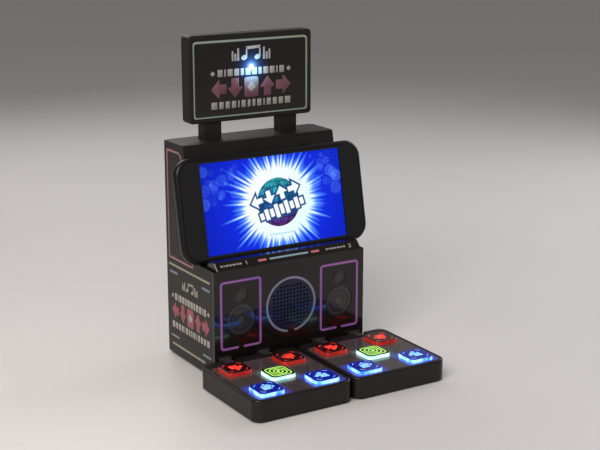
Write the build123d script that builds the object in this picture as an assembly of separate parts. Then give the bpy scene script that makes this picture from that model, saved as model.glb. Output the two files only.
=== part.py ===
from build123d import *
import os
from math import cos, radians, sin

# Tabletop dance machine for two players' fingers: an upright cabinet with a lit sign on two posts,
# a cradle that a phone leans in as the screen, and two hinged pads with five push buttons each.
# Frame: X to the player's right, Y away from the player, Z up, millimetres.
# Origin: middle of the whole footprint, on the table.

# ---- cabinet ------------------------------------------------------------------------------------
cabinet_width = 112.5
cabinet_depth = 65.5
cabinet_height = 145.0
foot_height = 1.5
ledge_height = 71.5        # top of the front panel, the shelf and the lower half of the sides
side_thickness = 2.2
front_thickness = 2.0
rear_thickness = 2.4
plate_thickness = 2.0      # top, base, shelf and backrest
corner_round = 1.5
foot_radius = 4.0
foot_inset = 10.0
boss_size = 6.0            # square screw bosses inside the sides
boss_length = 9.0
boss_inset = 11.0          # from the cabinet's top and bottom to the screw
lip_rise = 4.8             # label lip above the ledge, its front face at 45 degrees
lip_wall = 1.6
lip_phone_gap = 0.8        # between the lip's back and the phone's face
shelf_overhang = 2.0       # of the shelf behind the backrest

# ---- phone cradle and phone -----------------------------------------------------------------------
cradle_tilt = 11.3         # degrees that the phone leans back
phone_width = 138.3
phone_height = 67.1
phone_thickness = 8.0
phone_corner = 11.0
phone_front_round = 2.6
phone_back_round = 4.4
phone_setback = 12.6       # front panel to the bottom line of the phone's face
phone_travel = 70.0        # how far it lifts before it is free of the cradle
screen_width = 104.05
screen_height = 58.5
glass_thickness = 0.9
display_thickness = 1.2
key_length = 9.0
key_width = 2.0
key_x = 30.0
key_proud = 0.5
key_root = 1.5             # depth of the key inside the phone's edge
key_gap = 0.15
key_travel = 0.3
strip_width = 8.0          # rubber strips that the phone stands and leans on
shelf_strip_height = 1.1
backrest_strip_height = 3.4
strip_spread = 38.0
strip_end_gap = 1.0        # each end of the shelf strips
backrest_strip_margin = 8.0

# ---- speaker --------------------------------------------------------------------------------------
speaker_height = 41.75     # centre above the table
grille_radius = 16.0
grille_flange = 2.0
grille_flange_thickness = 0.8
grille_pitch = 2.5
grille_hole = 1.3
speaker_radius = 17.0
speaker_depth = 9.0
speaker_wall = 0.8
speaker_rim = 1.5          # flat ring round the frame's mouth, and the step that the cone sits on
speaker_step = 0.9
cone_thickness = 0.5
cone_rim = 2.2             # flat edge of the cone
cone_throat = 4.6
cone_depth = 4.0
cone_cap_rise = 1.4        # of the dust cap above the throat
cone_cap_dome = 0.4
magnet_radius = 8.5
magnet_length = 4.5
magnet_lip = 2.0           # the frame closes over the edge of the magnet
mock_cone_x = 37.0         # round mouldings that look like drivers, one pair each side
mock_woofer_height = 38.0
mock_woofer_radius = 10.2
mock_tweeter_height = 54.0
mock_tweeter_radius = 5.0
mock_groove = 1.0
mock_depth = 0.6

# ---- electronics and batteries ----------------------------------------------------------------------
board_thickness = 1.6
main_board_width = 78.0
main_board_depth = 34.0
standoff_height = 4.0
board_front_gap = 3.0      # between the front panel and the main board
standoff_inset = 4.0
# Processor, driver and plug socket: place from the board's middle, width, depth and height.
board_chips = ((-3.0, 0.0, 12.0, 12.0, 1.4), (17.0, 0.0, 6.0, 6.0, 1.2), (30.0, 10.5, 8.0, 5.0, 5.5))
board_capacitor = (-24.0, 4.0, 3.0, 7.0)   # place, radius and height
cell_radius = 5.2
cell_length = 43.3
cell_nub_radius = 1.9
cell_nub_length = 1.2
cell_pitch = 12.6
cell_count = 3
contact_space = 2.35       # between each end of a cell and the tray's end wall
contact_thickness = 0.4
contact_width = 8.5
contact_height = 9.5
contact_button_radius = 1.6
contact_spring_radius = 3.6
tray_wall = 2.5
tray_floor = 2.0
tray_door_gap = 1.0        # between the cells and the closed door
tray_rib_height = 3.0
tray_rib_width = 1.0
tray_centre_height = 40.0
door_margin = 2.0          # opening beyond the tray's pocket, each side
door_pin_radius = 0.6
door_pin_length = 2.2
door_range = 75.0
door_rib_count = 4
door_rib_length = 24.0
door_rib_width = 1.0
door_rib_pitch = 2.4
door_rib_depth = 0.5
door_rib_drop = 6.0        # first rib below the door's top
finger_notch_radius = 5.0
switch_x = 42.0
switch_height = 24.0
switch_travel = 3.0
switch_knob_width = 4.2
switch_knob_height = 3.0
switch_case_wall = 1.2
switch_case_depth = 5.0
switch_recess = 0.3        # of the knob behind the rear cover's face
switch_rib_pitch = 1.2
switch_rib_width = 0.5
switch_rib_depth = 0.3

# ---- sign -----------------------------------------------------------------------------------------
sign_width = 91.3
sign_height = 56.4
sign_thickness = 10.8
sign_rear_margin = 5.8     # sign's back to the cabinet's rear face
sign_corner = 2.6
sign_bezel_depth = 3.0
sign_bezel_width = 2.2
sign_bezel_lip = 0.5
sign_rebate = 0.8
sign_wall = 1.8
sign_least_corner = 0.4
sign_back_round = 1.0
sign_front_round = 0.8
sign_panel_thickness = 1.6
sign_led_rise = 5.8        # light above the sign's middle
sign_led_radius = 1.3
sign_led_recess = 0.3
sign_led_collar = 0.5
sign_led_collar_height = 0.8
sign_board_setback = 3.2   # from the bezel's back to the board's back
sign_board_side = 8.0      # from the sign's side to the board
sign_board_height = 38.0
sign_board_corner = 1.5
sign_board_post_side = 12.0
sign_board_post_rise = 14.0
post_height = 11.0
post_width = 13.6
post_depth = 8.0
post_x = 28.5
post_forward = 1.3         # of the posts' centres from the middle of the sign's rear shell
post_corner = 1.0
post_wall = 2.0            # shoulder around each tenon
tenon_length = 4.0

# ---- pads -----------------------------------------------------------------------------------------
pad_height = 14.6
pad_side_gap = 1.5
pad_back_gap = 4.0
pad_corner = 6.0
pad_wall = 1.8
pad_top_round = 1.2
pad_foot_height = 1.3
pad_foot_radius = 3.5
pad_foot_side = 16.0
pad_foot_front = 8.0
pad_foot_back = 10.0
pad_base_thickness = 1.6
pad_board_height = 2.1     # posts between the base and the board
pad_board_thickness = 1.2
pad_board_margin = 0.5     # between the board and the screw posts
pad_board_inset = 5.5
pad_board_forward = 1.0
board_post_x = 16.0
board_post_front = 22.0    # in front of the pad's middle
board_post_back = 14.0
panel_margin = 2.1
panel_back_strip = 8.6
panel_corner = 4.5
panel_thickness = 1.5
panel_recess = 0.3
panel_ledge = 0.9
panel_ledge_thickness = 1.4
button_size = 16.9
button_corner = 3.0
button_gap = 2.5           # between neighbouring buttons, along X and along Y
button_side_margin = 4.45  # outer buttons to the panel's sides
button_end_margin = 2.3    # outer buttons to the panel's front and back
button_rise = 2.2
button_travel = 1.0
button_wall = 1.2
button_top_thickness = 1.5
button_edge_round = 0.5
button_flange = 0.6
button_flange_thickness = 1.0
button_stem_radius = 2.0
button_stem_drop = 1.3
membrane_thickness = 0.6
dome_radius = 3.2
dome_step = 1.2            # the dome's upper part is this much smaller
dome_step_height = 1.0
membrane_margin = 1.0
led_offset = 5.4
led_size = 2.0
led_width = 1.2
led_window_gap = 0.4
led_height = 0.7
pad_post_radius = 2.9
pad_post_bite = 0.3        # how far a corner post runs into the round corner's wall
pad_screw_length = 6.0
board_post_radius = 2.6

# ---- pad hinges -------------------------------------------------------------------------------------
hinge_spread = 14.0        # from the pad's middle to each hinge
hinge_pin_radius = 0.9
hinge_pin_length = 14.0
hinge_barrel_radius = 2.0
hinge_barrel_width = 5.0
hinge_notch_width = 10.2
hinge_lug = 3.0
hinge_back = 2.4           # axis in front of the pad's back edge
hinge_drop = 2.2           # axis below the pad's top
hinge_notch_gap = 0.6
hinge_notch_wall = 1.2
bracket_plate = 1.2
bracket_width = 8.8
bracket_arm = 2.8
bracket_below = 4.5
bracket_above = 2.5
pad_fold = 90.0

# ---- fits and fasteners -----------------------------------------------------------------------------
running_gap = 0.3          # between pieces that move past each other
seat_gap = 0.1             # between pieces that are assembled and stay put
pin_gap = 0.06             # round a hinge pin
screw_radius = 1.0
screw_head_radius = 1.9
screw_head_height = 1.1
screw_length = 7.0
screw_gap = 0.05
screw_slot = (2.4, 0.5)    # length and width of each bar of the cross in the head
screw_slot_depth = 0.5
screw_end_wall = 1.0       # left beyond a blind screw hole

# ---- places worked out from the sizes above -----------------------------------------------------------
# The pads are as large as their five buttons need.
button_pitch = button_size + button_gap
pad_width = 2 * (button_pitch + button_size / 2 + button_side_margin + panel_margin)
pad_length = 2 * (button_pitch + button_size / 2 + button_end_margin) + panel_margin + panel_back_strip

total_depth = pad_length + pad_back_gap + cabinet_depth
rear_y = total_depth / 2
front_y = rear_y - cabinet_depth
pad_back_y = front_y - pad_back_gap
pad_front_y = pad_back_y - pad_length
half_width = cabinet_width / 2
inner_half = half_width - side_thickness
front_inside = front_y + front_thickness
rear_inside = rear_y - rear_thickness
base_top = foot_height + plate_thickness
top_underside = cabinet_height - plate_thickness
tilt = radians(cradle_tilt)

# The phone's lowest line is on the round of its back edge, just above the shelf's rubber strips.
phone_lowest = ledge_height + shelf_strip_height + running_gap
phone_face_y = front_y + phone_setback
phone_face_z = (phone_lowest + phone_back_round
                - phone_back_round * cos(tilt) + (phone_thickness - phone_back_round) * sin(tilt))
cradle = Plane(origin=(0, phone_face_y, phone_face_z), x_dir=(1, 0, 0), z_dir=(0, -cos(tilt), sin(tilt)))
backrest_depth = phone_thickness + running_gap + backrest_strip_height

sign_setback = cabinet_depth - sign_thickness - sign_rear_margin   # front panel to the sign's face
sign_front_y = front_y + sign_setback
sign_bottom = cabinet_height + post_height
sign_centre = sign_bottom + sign_height / 2
sign_led_height = sign_centre + sign_led_rise
post_y = sign_front_y + sign_bezel_depth + (sign_thickness - sign_bezel_depth) / 2 - post_forward

pad_middle_y = (pad_front_y + pad_back_y) / 2
hinge_y = pad_back_y - hinge_back
hinge_z = pad_height - hinge_drop
panel_top = pad_height - panel_recess
panel_underside = panel_top - panel_thickness
panel_front_y = pad_front_y + panel_margin
panel_back_y = pad_back_y - panel_back_strip
panel_centre_y = (panel_front_y + panel_back_y) / 2
panel_width = pad_width - 2 * panel_margin
panel_length = panel_back_y - panel_front_y
pad_post_step = pad_corner - pad_wall - pad_post_radius + pad_post_bite
pad_post_inset = pad_corner - pad_post_step / 2 ** 0.5
pad_base_top = pad_foot_height + pad_base_thickness
pad_board_bottom = pad_base_top + pad_board_height
pad_board_top = pad_board_bottom + pad_board_thickness
button_top = panel_top + button_rise
button_flange_top = panel_underside - running_gap
button_stem_bottom = button_flange_top - button_flange_thickness - button_stem_drop
dome_top = button_stem_bottom - button_travel - seat_gap
# A pressed button's flange passes over the corner screw posts.
pad_post_top = button_flange_top - button_flange_thickness - button_travel - running_gap

main_board_y = front_inside + board_front_gap + main_board_depth / 2
tray_pocket_length = cell_length + cell_nub_length + 2 * contact_space
tray_pocket_height = cell_count * cell_pitch
tray_depth = 2 * cell_radius + tray_floor + tray_door_gap
door_width = tray_pocket_length + 2 * door_margin
door_height = tray_pocket_height + 2 * door_margin
door_bottom = tray_centre_height - door_height / 2
door_axis_y = rear_y - rear_thickness / 2
door_axis_z = door_bottom + running_gap + rear_thickness / 2


# ---- helpers ------------------------------------------------------------------------------------------
def block(x0, x1, y0, y1, z0, z1):
    """Box between two opposite corners."""
    return Pos((x0 + x1) / 2, (y0 + y1) / 2, (z0 + z1) / 2) * Box(x1 - x0, y1 - y0, z1 - z0)


def side_profile(points, x0, x1):
    """Prism along X from a closed outline of (y, z) points."""
    outline = make_face(Polyline(*points, close=True))
    return extrude(Plane.YZ.offset(x0) * outline, amount=x1 - x0)


def upright(sketch, y0, y1):
    """Prism along Y from a sketch drawn in X and Z."""
    face = Plane(origin=(0, y0, 0), x_dir=(1, 0, 0), z_dir=(0, -1, 0))
    return extrude(face * sketch, amount=y0 - y1)


def flat(sketch, z0, z1):
    """Prism along Z from a sketch drawn in X and Y."""
    return extrude(Plane.XY.offset(z0) * sketch, amount=z1 - z0)


def in_cradle(sketch, depth0, depth1):
    """Prism parallel to the phone's face; the depths are measured behind that face."""
    return extrude(cradle.offset(-depth1) * sketch, amount=depth1 - depth0)


def cradle_y(height, depth):
    """Y at a height on the plane that lies the given depth behind the phone's face."""
    along = (height - phone_face_z + depth * sin(tilt)) / cos(tilt)
    return phone_face_y + along * sin(tilt) + depth * cos(tilt)


def rod(radius, length):
    """Cylinder standing on the origin."""
    return Cylinder(radius, length, align=(Align.CENTER, Align.CENTER, Align.MIN))


def rod_z(radius, x, y, z0, z1):
    """Cylinder along Z."""
    return Pos(x, y, z0) * rod(radius, z1 - z0)


def rod_y(radius, x, z, y0, y1):
    """Cylinder along Y."""
    return Pos(x, y0, z) * Rot(-90, 0, 0) * rod(radius, y1 - y0)


def rod_x(radius, y, z, x0, x1):
    """Cylinder along X."""
    return Pos(x0, y, z) * Rot(0, 90, 0) * rod(radius, x1 - x0)


def group(pieces):
    """Several separate solids in one node."""
    return Compound(children=[solid for piece in pieces for solid in piece.solids()])


def mirrored(values):
    """Each value with both signs."""
    return [sign * value for value in values for sign in (-1, 1)]


# ---- cabinet shell --------------------------------------------------------------------------------------
def screw_places():
    """X and Z of the four rear screws."""
    x = inner_half - boss_size / 2
    heights = (foot_height + boss_inset, cabinet_height - boss_inset)
    return [(sign * x, z) for sign in (-1, 1) for z in heights]


def cabinet_side(sign):
    """Side panel with its two screw bosses; the phone passes over its ledge."""
    outline = make_face(Polyline(
        (front_inside, foot_height),
        (front_inside, ledge_height),
        (cradle_y(ledge_height, backrest_depth), ledge_height),
        (cradle_y(cabinet_height, backrest_depth), cabinet_height),
        (rear_y, cabinet_height),
        (rear_y, foot_height),
        close=True))
    upper = outline.vertices().filter_by(lambda vertex: vertex.Y > top_underside)
    outline = fillet(upper, corner_round)
    x0, x1 = sorted((sign * inner_half, sign * half_width))
    panel = extrude(Plane.YZ.offset(x0) * outline, amount=x1 - x0)
    for x, z in screw_places():
        if x * sign > 0:
            boss = Pos(x, rear_inside - boss_length / 2, z) * Box(boss_size, boss_length, boss_size)
            blind_end = rear_inside - boss_length + screw_end_wall
            panel += boss
            panel -= rod_y(screw_radius + screw_gap, x, z, blind_end, rear_inside)
    return panel


def front_panel():
    """Front panel with the speaker hole and the round grooves of the mock drivers."""
    panel = block(-half_width, half_width, front_y, front_inside, foot_height, ledge_height)
    panel -= rod_y(grille_radius + seat_gap, 0, speaker_height, front_y, front_inside)
    drivers = ((mock_woofer_height, mock_woofer_radius), (mock_tweeter_height, mock_tweeter_radius))
    for x in mirrored([mock_cone_x]):
        for z, radius in drivers:
            ring = rod_y(radius, x, z, front_y, front_y + mock_depth)
            panel -= ring - rod_y(radius - mock_groove, x, z, front_y, front_y + mock_depth)
    return panel


def tenon_sketch(x, gap):
    """Section of a sign post's tenon, grown by a gap."""
    width = post_width - 2 * post_wall + 2 * gap
    depth = post_depth - 2 * post_wall + 2 * gap
    return Pos(x, post_y) * Rectangle(width, depth)


def top_cover():
    """Flat top with a hole for each sign post's tenon."""
    cover_front = cradle_y(cabinet_height, backrest_depth)
    cover = block(-inner_half, inner_half, cover_front, rear_y, top_underside, cabinet_height)
    for x in mirrored([post_x]):
        cover -= flat(tenon_sketch(x, seat_gap), top_underside, cabinet_height)
    return cover


def rear_cover():
    """Rear cover: battery opening with pin holes, switch slot, and counterbored screw holes."""
    cover = block(-inner_half, inner_half, rear_inside, rear_y, foot_height, top_underside)
    door_top = door_bottom + door_height
    cover -= block(-door_width / 2, door_width / 2, rear_inside, rear_y, door_bottom, door_top)
    reach = door_width / 2 + door_pin_length + running_gap
    cover -= rod_x(door_pin_radius + pin_gap, door_axis_y, door_axis_z, -reach, reach)
    cover -= upright(switch_slot(), rear_inside, rear_y)
    for x, z in screw_places():
        cover -= rod_y(screw_radius + screw_gap, x, z, rear_inside, rear_y)
        cover -= rod_y(screw_head_radius + seat_gap, x, z, rear_y - screw_head_height - seat_gap, rear_y)
    return cover - rod_y(finger_notch_radius, 0, door_top, door_axis_y, rear_y)


def switch_slot():
    """Slot that the switch's knob slides in."""
    width = switch_knob_width + switch_travel + 2 * running_gap
    height = switch_knob_height + 2 * running_gap
    return Pos(switch_x + switch_travel / 2, switch_height) * Rectangle(width, height)


def base_plate():
    """Bottom of the cabinet, with four standoffs for the main board."""
    plate = block(-inner_half, inner_half, front_inside, rear_inside, foot_height, base_top)
    for x, y in board_corners():
        plate += rod_z(board_post_radius, x, y, base_top, base_top + standoff_height)
    return plate


def board_corners():
    """X and Y of the main board's four standoffs."""
    half = main_board_depth / 2 - standoff_inset
    xs = mirrored([main_board_width / 2 - standoff_inset])
    return [(x, main_board_y + offset) for x in xs for offset in (-half, half)]


def backrest_panel():
    """Sloping panel behind the phone, from the shelf to the top cover."""
    front = backrest_depth
    back = backrest_depth + plate_thickness
    points = [
        (cradle_y(ledge_height, front), ledge_height),
        (cradle_y(top_underside, front), top_underside),
        (cradle_y(top_underside, back), top_underside),
        (cradle_y(ledge_height, back), ledge_height),
    ]
    return side_profile(points, -inner_half, inner_half)


def phone_shelf():
    """Level shelf under the phone, from the front panel to just behind the backrest."""
    back = cradle_y(ledge_height, backrest_depth + plate_thickness) + shelf_overhang
    return block(-inner_half, inner_half, front_inside, back, ledge_height - plate_thickness, ledge_height)


def shelf_lip():
    """Hollow label lip in front of the phone; its front face slopes at 45 degrees."""
    top = ledge_height + lip_rise
    back = phone_face_y - lip_phone_gap
    slope = lip_wall * 2 ** 0.5
    outer = [(front_y, ledge_height), (front_y + lip_rise, top), (back, top), (back, ledge_height)]
    inner = [
        (front_y + slope, ledge_height),
        (front_y + slope + lip_rise - lip_wall, top - lip_wall),
        (back - lip_wall, top - lip_wall),
        (back - lip_wall, ledge_height),
    ]
    hollow = side_profile(inner, -inner_half + lip_wall, inner_half - lip_wall)
    return side_profile(outer, -inner_half, inner_half) - hollow


def cradle_strips():
    """Rubber strips: two on the shelf under the phone, three upright on the backrest."""
    strips = []
    shelf_y0 = phone_face_y + strip_end_gap
    shelf_y1 = cradle_y(ledge_height, backrest_depth) - strip_end_gap
    top = ledge_height + shelf_strip_height
    for x in mirrored([strip_spread]):
        strips.append(block(x - strip_width, x + strip_width, shelf_y0, shelf_y1, ledge_height, top))
    for x in (-strip_spread, 0, strip_spread):
        strip = Pos(x, phone_height / 2) * Rectangle(strip_width, phone_height - 2 * backrest_strip_margin)
        strips.append(in_cradle(strip, backrest_depth - backrest_strip_height, backrest_depth))
    return group(strips)


def cabinet_feet():
    """Four rubber feet under the cabinet's base."""
    xs = mirrored([half_width - foot_inset])
    ys = (front_inside + foot_inset, rear_inside - foot_inset)
    return group([rod_z(foot_radius, x, y, 0, foot_height) for x in xs for y in ys])


def cabinet_screws():
    """Four self-tapping screws through the rear cover, with cross slots."""
    screws = []
    for x, z in screw_places():
        head_y = rear_y - screw_head_height - seat_gap
        screw = rod_y(screw_head_radius, x, z, head_y, head_y + screw_head_height)
        screw += rod_y(screw_radius, x, z, head_y - screw_length, head_y)
        for width, height in (screw_slot, screw_slot[::-1]):
            screw -= Pos(x, head_y + screw_head_height, z) * Box(width, 2 * screw_slot_depth, height)
        screws.append(screw)
    return group(screws)


# ---- speaker and electronics ------------------------------------------------------------------------------
def speaker_grille():
    """Round grille insert with a square pattern of square holes."""
    count = int(grille_radius / grille_pitch)
    reach = grille_radius - grille_pitch / 2
    steps = [index * grille_pitch for index in range(-count, count + 1)]
    places = [(x, z) for x in steps for z in steps if x * x + z * z < reach * reach]
    holes = Sketch() + [Pos(x, speaker_height + z) * Rectangle(grille_hole, grille_hole) for x, z in places]
    disc = rod_y(grille_radius, 0, speaker_height, front_y, front_inside)
    flange_back = front_inside + grille_flange_thickness
    disc += rod_y(grille_radius + grille_flange, 0, speaker_height, front_inside, flange_back)
    return disc - upright(holes, front_y, flange_back)


def speaker_seat():
    """Y of the speaker's front, against the back of the grille."""
    return front_inside + grille_flange_thickness


def about_speaker(profile):
    """Turn an outline of (radius, depth) points round the speaker's axis."""
    outline = make_face(Polyline(*profile, close=True))
    turned = revolve(Plane.XZ * outline, axis=Axis.Z)
    return Pos(0, speaker_seat(), speaker_height) * Rot(-90, 0, 0) * turned


def speaker_basket():
    """Speaker frame with its magnet."""
    rim = speaker_radius - speaker_rim
    shell = [
        (speaker_radius, 0),
        (speaker_radius, 2 * speaker_step),
        (speaker_radius - speaker_rim, 2 * speaker_step + speaker_wall),
        (magnet_radius, speaker_depth),
        (magnet_radius, speaker_depth + magnet_length),
        (0, speaker_depth + magnet_length),
        (0, speaker_depth - speaker_wall),
        (magnet_radius - magnet_lip, speaker_depth - speaker_wall),
        (rim - speaker_rim, 2 * speaker_step),
        (rim - speaker_rim, speaker_step),
        (rim, speaker_step),
        (rim, 0),
    ]
    return about_speaker(shell)


def speaker_cone():
    """Paper cone with its dust cap, resting on the frame's rim."""
    rim = speaker_radius - speaker_rim - seat_gap
    inside = rim - cone_rim
    top = speaker_step - cone_thickness
    throat_depth = speaker_step + cone_depth
    cap_edge = cone_throat - cone_rim
    cap_depth = throat_depth - cone_cap_rise
    cone = [
        (rim, top),
        (inside, top),
        (cone_throat, throat_depth - cone_thickness),
        (cap_edge + cone_cap_dome / 2, cap_depth + cone_cap_dome),
        (0, cap_depth),
        (0, cap_depth + cone_thickness),
        (cap_edge, cap_depth + cone_cap_dome + cone_thickness),
        (cone_throat - cone_cap_dome, throat_depth),
        (inside - cone_cap_dome, speaker_step),
        (rim, speaker_step),
    ]
    return about_speaker(cone)


def main_board():
    """Circuit board on the base's standoffs, with its chips and a socket."""
    bottom = base_top + standoff_height
    top = bottom + board_thickness
    board = flat(Pos(0, main_board_y) * Rectangle(main_board_width, main_board_depth), bottom, top)
    for x, y, width, depth, height in board_chips:
        board += flat(Pos(x, main_board_y + y) * Rectangle(width, depth), top, top + height)
    x, y, radius, height = board_capacitor
    return board + rod_z(radius, x, main_board_y + y, top, top + height)


def cell_rows():
    """Height of each cell's axis and the side that its nub points to."""
    first = tray_centre_height - cell_pitch * (cell_count - 1) / 2
    return [(first + row * cell_pitch, 1 if row % 2 else -1) for row in range(cell_count)]


def battery_tray():
    """Open tray behind the battery opening, with a rib between the cells."""
    half_length = tray_pocket_length / 2
    half_height = tray_pocket_height / 2
    tray = block(-half_length - tray_wall, half_length + tray_wall, rear_inside - tray_depth, rear_inside,
                 tray_centre_height - half_height - tray_wall, tray_centre_height + half_height + tray_wall)
    tray -= block(-half_length, half_length, rear_inside - tray_depth + tray_floor, rear_inside,
                  tray_centre_height - half_height, tray_centre_height + half_height)
    floor_y = rear_inside - tray_depth + tray_floor
    for row in range(1, cell_count):
        z = tray_centre_height - half_height + row * cell_pitch
        rib = Pos(0, z) * Rectangle(tray_pocket_length, tray_rib_width)
        tray += upright(rib, floor_y, floor_y + tray_rib_height)
    return tray


def cell_axis_y():
    """Y of the cells' axes, just clear of the tray's floor."""
    return rear_inside - tray_depth + tray_floor + cell_radius + seat_gap


def batteries():
    """Small round cells lying side by side, each the other way round."""
    cells = []
    for z, sign in cell_rows():
        tip = sign * (cell_length + cell_nub_length) / 2
        shoulder = sign * (cell_length - cell_nub_length) / 2
        cell = rod_x(cell_radius, cell_axis_y(), z, *sorted((-tip, shoulder)))
        cells.append(cell + rod_x(cell_nub_radius, cell_axis_y(), z, *sorted((shoulder, tip))))
    return group(cells)


def battery_contacts():
    """A flat plate at each end of each cell, with a spring's outer shape or a raised button."""
    contacts = []
    end = tray_pocket_length / 2
    reach = contact_space - contact_thickness - seat_gap
    for z, sign in cell_rows():
        for side in (-1, 1):
            place = Pos(side * (end - contact_thickness / 2), cell_axis_y(), z)
            plate = place * Box(contact_thickness, contact_width, contact_height)
            radius = contact_button_radius if side == sign else contact_spring_radius
            start, stop = sorted((side * (end - contact_thickness), side * (end - contact_thickness - reach)))
            contacts.append(plate + rod_x(radius, cell_axis_y(), z, start, stop))
    return group(contacts)


def battery_door():
    """Door flush in the rear cover; its bottom edge is round and carries two hinge pins."""
    half = door_width / 2 - running_gap
    top = door_bottom + door_height - running_gap
    door = block(-half, half, rear_inside, rear_y, door_axis_z, top)
    door += rod_x(rear_thickness / 2, door_axis_y, door_axis_z, -half, half)
    door += rod_x(door_pin_radius, door_axis_y, door_axis_z, -half - door_pin_length, half + door_pin_length)
    for step in range(door_rib_count):
        z = door_bottom + door_height - door_rib_drop - door_rib_pitch * step
        groove = Pos(0, z + door_rib_width / 2) * Rectangle(door_rib_length, door_rib_width)
        door -= upright(groove, rear_y - door_rib_depth, rear_y)
    return door


def power_switch_case():
    """Slide switch's case behind the rear cover."""
    slot = switch_slot()
    front = rear_inside - switch_case_depth
    outline = offset(slot, switch_case_wall, kind=Kind.INTERSECTION)
    return upright(outline, front, rear_inside) - upright(slot, front + switch_case_wall, rear_inside)


def power_switch_knob():
    """Ribbed knob that slides along X in the rear cover's slot."""
    back = rear_inside - switch_case_depth + switch_case_wall + running_gap
    tip = rear_y - switch_recess
    knob = upright(Pos(switch_x, switch_height) * Rectangle(switch_knob_width, switch_knob_height), back, tip)
    for step in (-1, 0, 1):
        place = Pos(switch_x + step * switch_rib_pitch, switch_height)
        knob -= upright(place * Rectangle(switch_rib_width, switch_knob_height), tip - switch_rib_depth, tip)
    return knob


# ---- sign -----------------------------------------------------------------------------------------------
def sign_outline(inset):
    """Rounded outline of the sign, drawn in by an inset."""
    corner = max(sign_corner - inset, sign_least_corner)
    return Pos(0, sign_centre) * RectangleRounded(sign_width - 2 * inset, sign_height - 2 * inset, corner)


def sign_posts():
    """Two posts with a tenon at each end, into the top cover and into the sign."""
    posts = []
    for x in mirrored([post_x]):
        outline = Pos(x, post_y) * RectangleRounded(post_width, post_depth, post_corner)
        body = flat(outline, cabinet_height, sign_bottom)
        tenons = flat(tenon_sketch(x, 0), cabinet_height - tenon_length, sign_bottom + tenon_length)
        posts.append(body + tenons)
    return group(posts)


def sign_rear_shell():
    """Rear half of the sign's case, open to the front, with slots for the posts' tenons."""
    front = sign_front_y + sign_bezel_depth
    back = sign_front_y + sign_thickness
    shell = upright(sign_outline(0), front, back)
    shell = fillet(shell.faces().sort_by(Axis.Y)[-1].edges(), sign_back_round)
    shell -= upright(sign_outline(sign_wall), front, back - sign_wall)
    for x in mirrored([post_x]):
        shell -= flat(tenon_sketch(x, seat_gap), sign_bottom, sign_bottom + sign_wall)
    for x, z in sign_board_corners():
        shell += rod_y(board_post_radius, x, z, sign_board_back(), back - sign_wall)
    return shell


def sign_board_corners():
    """X and Z of the posts that carry the sign's light board."""
    xs = mirrored([sign_width / 2 - sign_board_post_side])
    return [(x, sign_centre + rise) for x in xs for rise in (-sign_board_post_rise, sign_board_post_rise)]


def sign_board_back():
    """Y of the back of the sign's light board."""
    return sign_front_y + sign_bezel_depth + sign_board_setback


def sign_bezel():
    """Front frame of the sign, with a rebate that holds the panel."""
    step = sign_front_y + sign_bezel_lip
    back = sign_front_y + sign_bezel_depth
    frame = upright(sign_outline(0), sign_front_y, back)
    frame = fillet(frame.faces().sort_by(Axis.Y)[0].edges(), sign_front_round)
    frame -= upright(sign_outline(sign_bezel_width + sign_rebate), sign_front_y, step)
    return frame - upright(sign_outline(sign_bezel_width), step, back)


def sign_panel():
    """Printed panel of the sign, with the hole that the light shines through."""
    front = sign_front_y + sign_bezel_lip
    panel = upright(sign_outline(sign_bezel_width + seat_gap), front, front + sign_panel_thickness)
    return panel - rod_y(sign_led_radius + seat_gap, 0, sign_led_height, front, front + sign_panel_thickness)


def sign_light_board():
    """Circuit board behind the sign's panel."""
    back = sign_board_back()
    width = sign_width - 2 * sign_board_side
    outline = Pos(0, sign_centre) * RectangleRounded(width, sign_board_height, sign_board_corner)
    return upright(outline, back - pad_board_thickness, back)


def sign_led():
    """Round light on the board; its tip fills the hole in the sign's panel."""
    board_front = sign_board_back() - pad_board_thickness
    tip = sign_front_y + sign_bezel_lip + sign_led_recess
    collar_front = board_front - sign_led_collar_height
    led = rod_y(sign_led_radius, 0, sign_led_height, tip, board_front)
    return led + rod_y(sign_led_radius + sign_led_collar, 0, sign_led_height, collar_front, board_front)


# ---- phone ----------------------------------------------------------------------------------------------
def phone_outline(inset):
    """Rounded outline of the phone, drawn in by an inset."""
    outline = RectangleRounded(phone_width - 2 * inset, phone_height - 2 * inset, phone_corner - inset)
    return Pos(0, phone_height / 2) * outline


def screen_outline(gap):
    """Outline of the phone's display, grown by a gap."""
    return Pos(0, phone_height / 2) * Rectangle(screen_width + 2 * gap, screen_height + 2 * gap)


def key_sketch(gap):
    """Side key's outline seen from above the phone's long edge, grown by a gap."""
    return Rectangle(key_length + 2 * gap, key_width + 2 * gap)


def key_plane():
    """Plane on the phone's upper long edge, at the middle of the side key."""
    centre = cradle.from_local_coords(Vector(key_x, phone_height, -phone_thickness / 2))
    return Plane(origin=centre, x_dir=(1, 0, 0), z_dir=(0, sin(tilt), cos(tilt)))


def phone_shell():
    """Phone's case with rounded sides, open to the front for the display and the glass."""
    shell = in_cradle(phone_outline(0), 0, phone_thickness)
    towards_player = Axis((0, 0, 0), (0, -cos(tilt), sin(tilt)))
    shell = fillet(shell.faces().sort_by(towards_player)[-1].edges(), phone_front_round)
    shell = fillet(shell.faces().sort_by(towards_player)[0].edges(), phone_back_round)
    shell -= in_cradle(phone_outline(phone_front_round + seat_gap), 0, glass_thickness)
    shell -= in_cradle(screen_outline(seat_gap), glass_thickness, glass_thickness + display_thickness)
    slot_depth = key_root + key_travel + running_gap
    return shell - extrude(key_plane() * key_sketch(key_gap), amount=-slot_depth)


def phone_glass():
    """Front glass, flush with the phone's case."""
    return in_cradle(phone_outline(phone_front_round + 2 * seat_gap), 0, glass_thickness)


def phone_display():
    """Lit display panel behind the glass."""
    return in_cradle(screen_outline(0), glass_thickness, glass_thickness + display_thickness)


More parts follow.
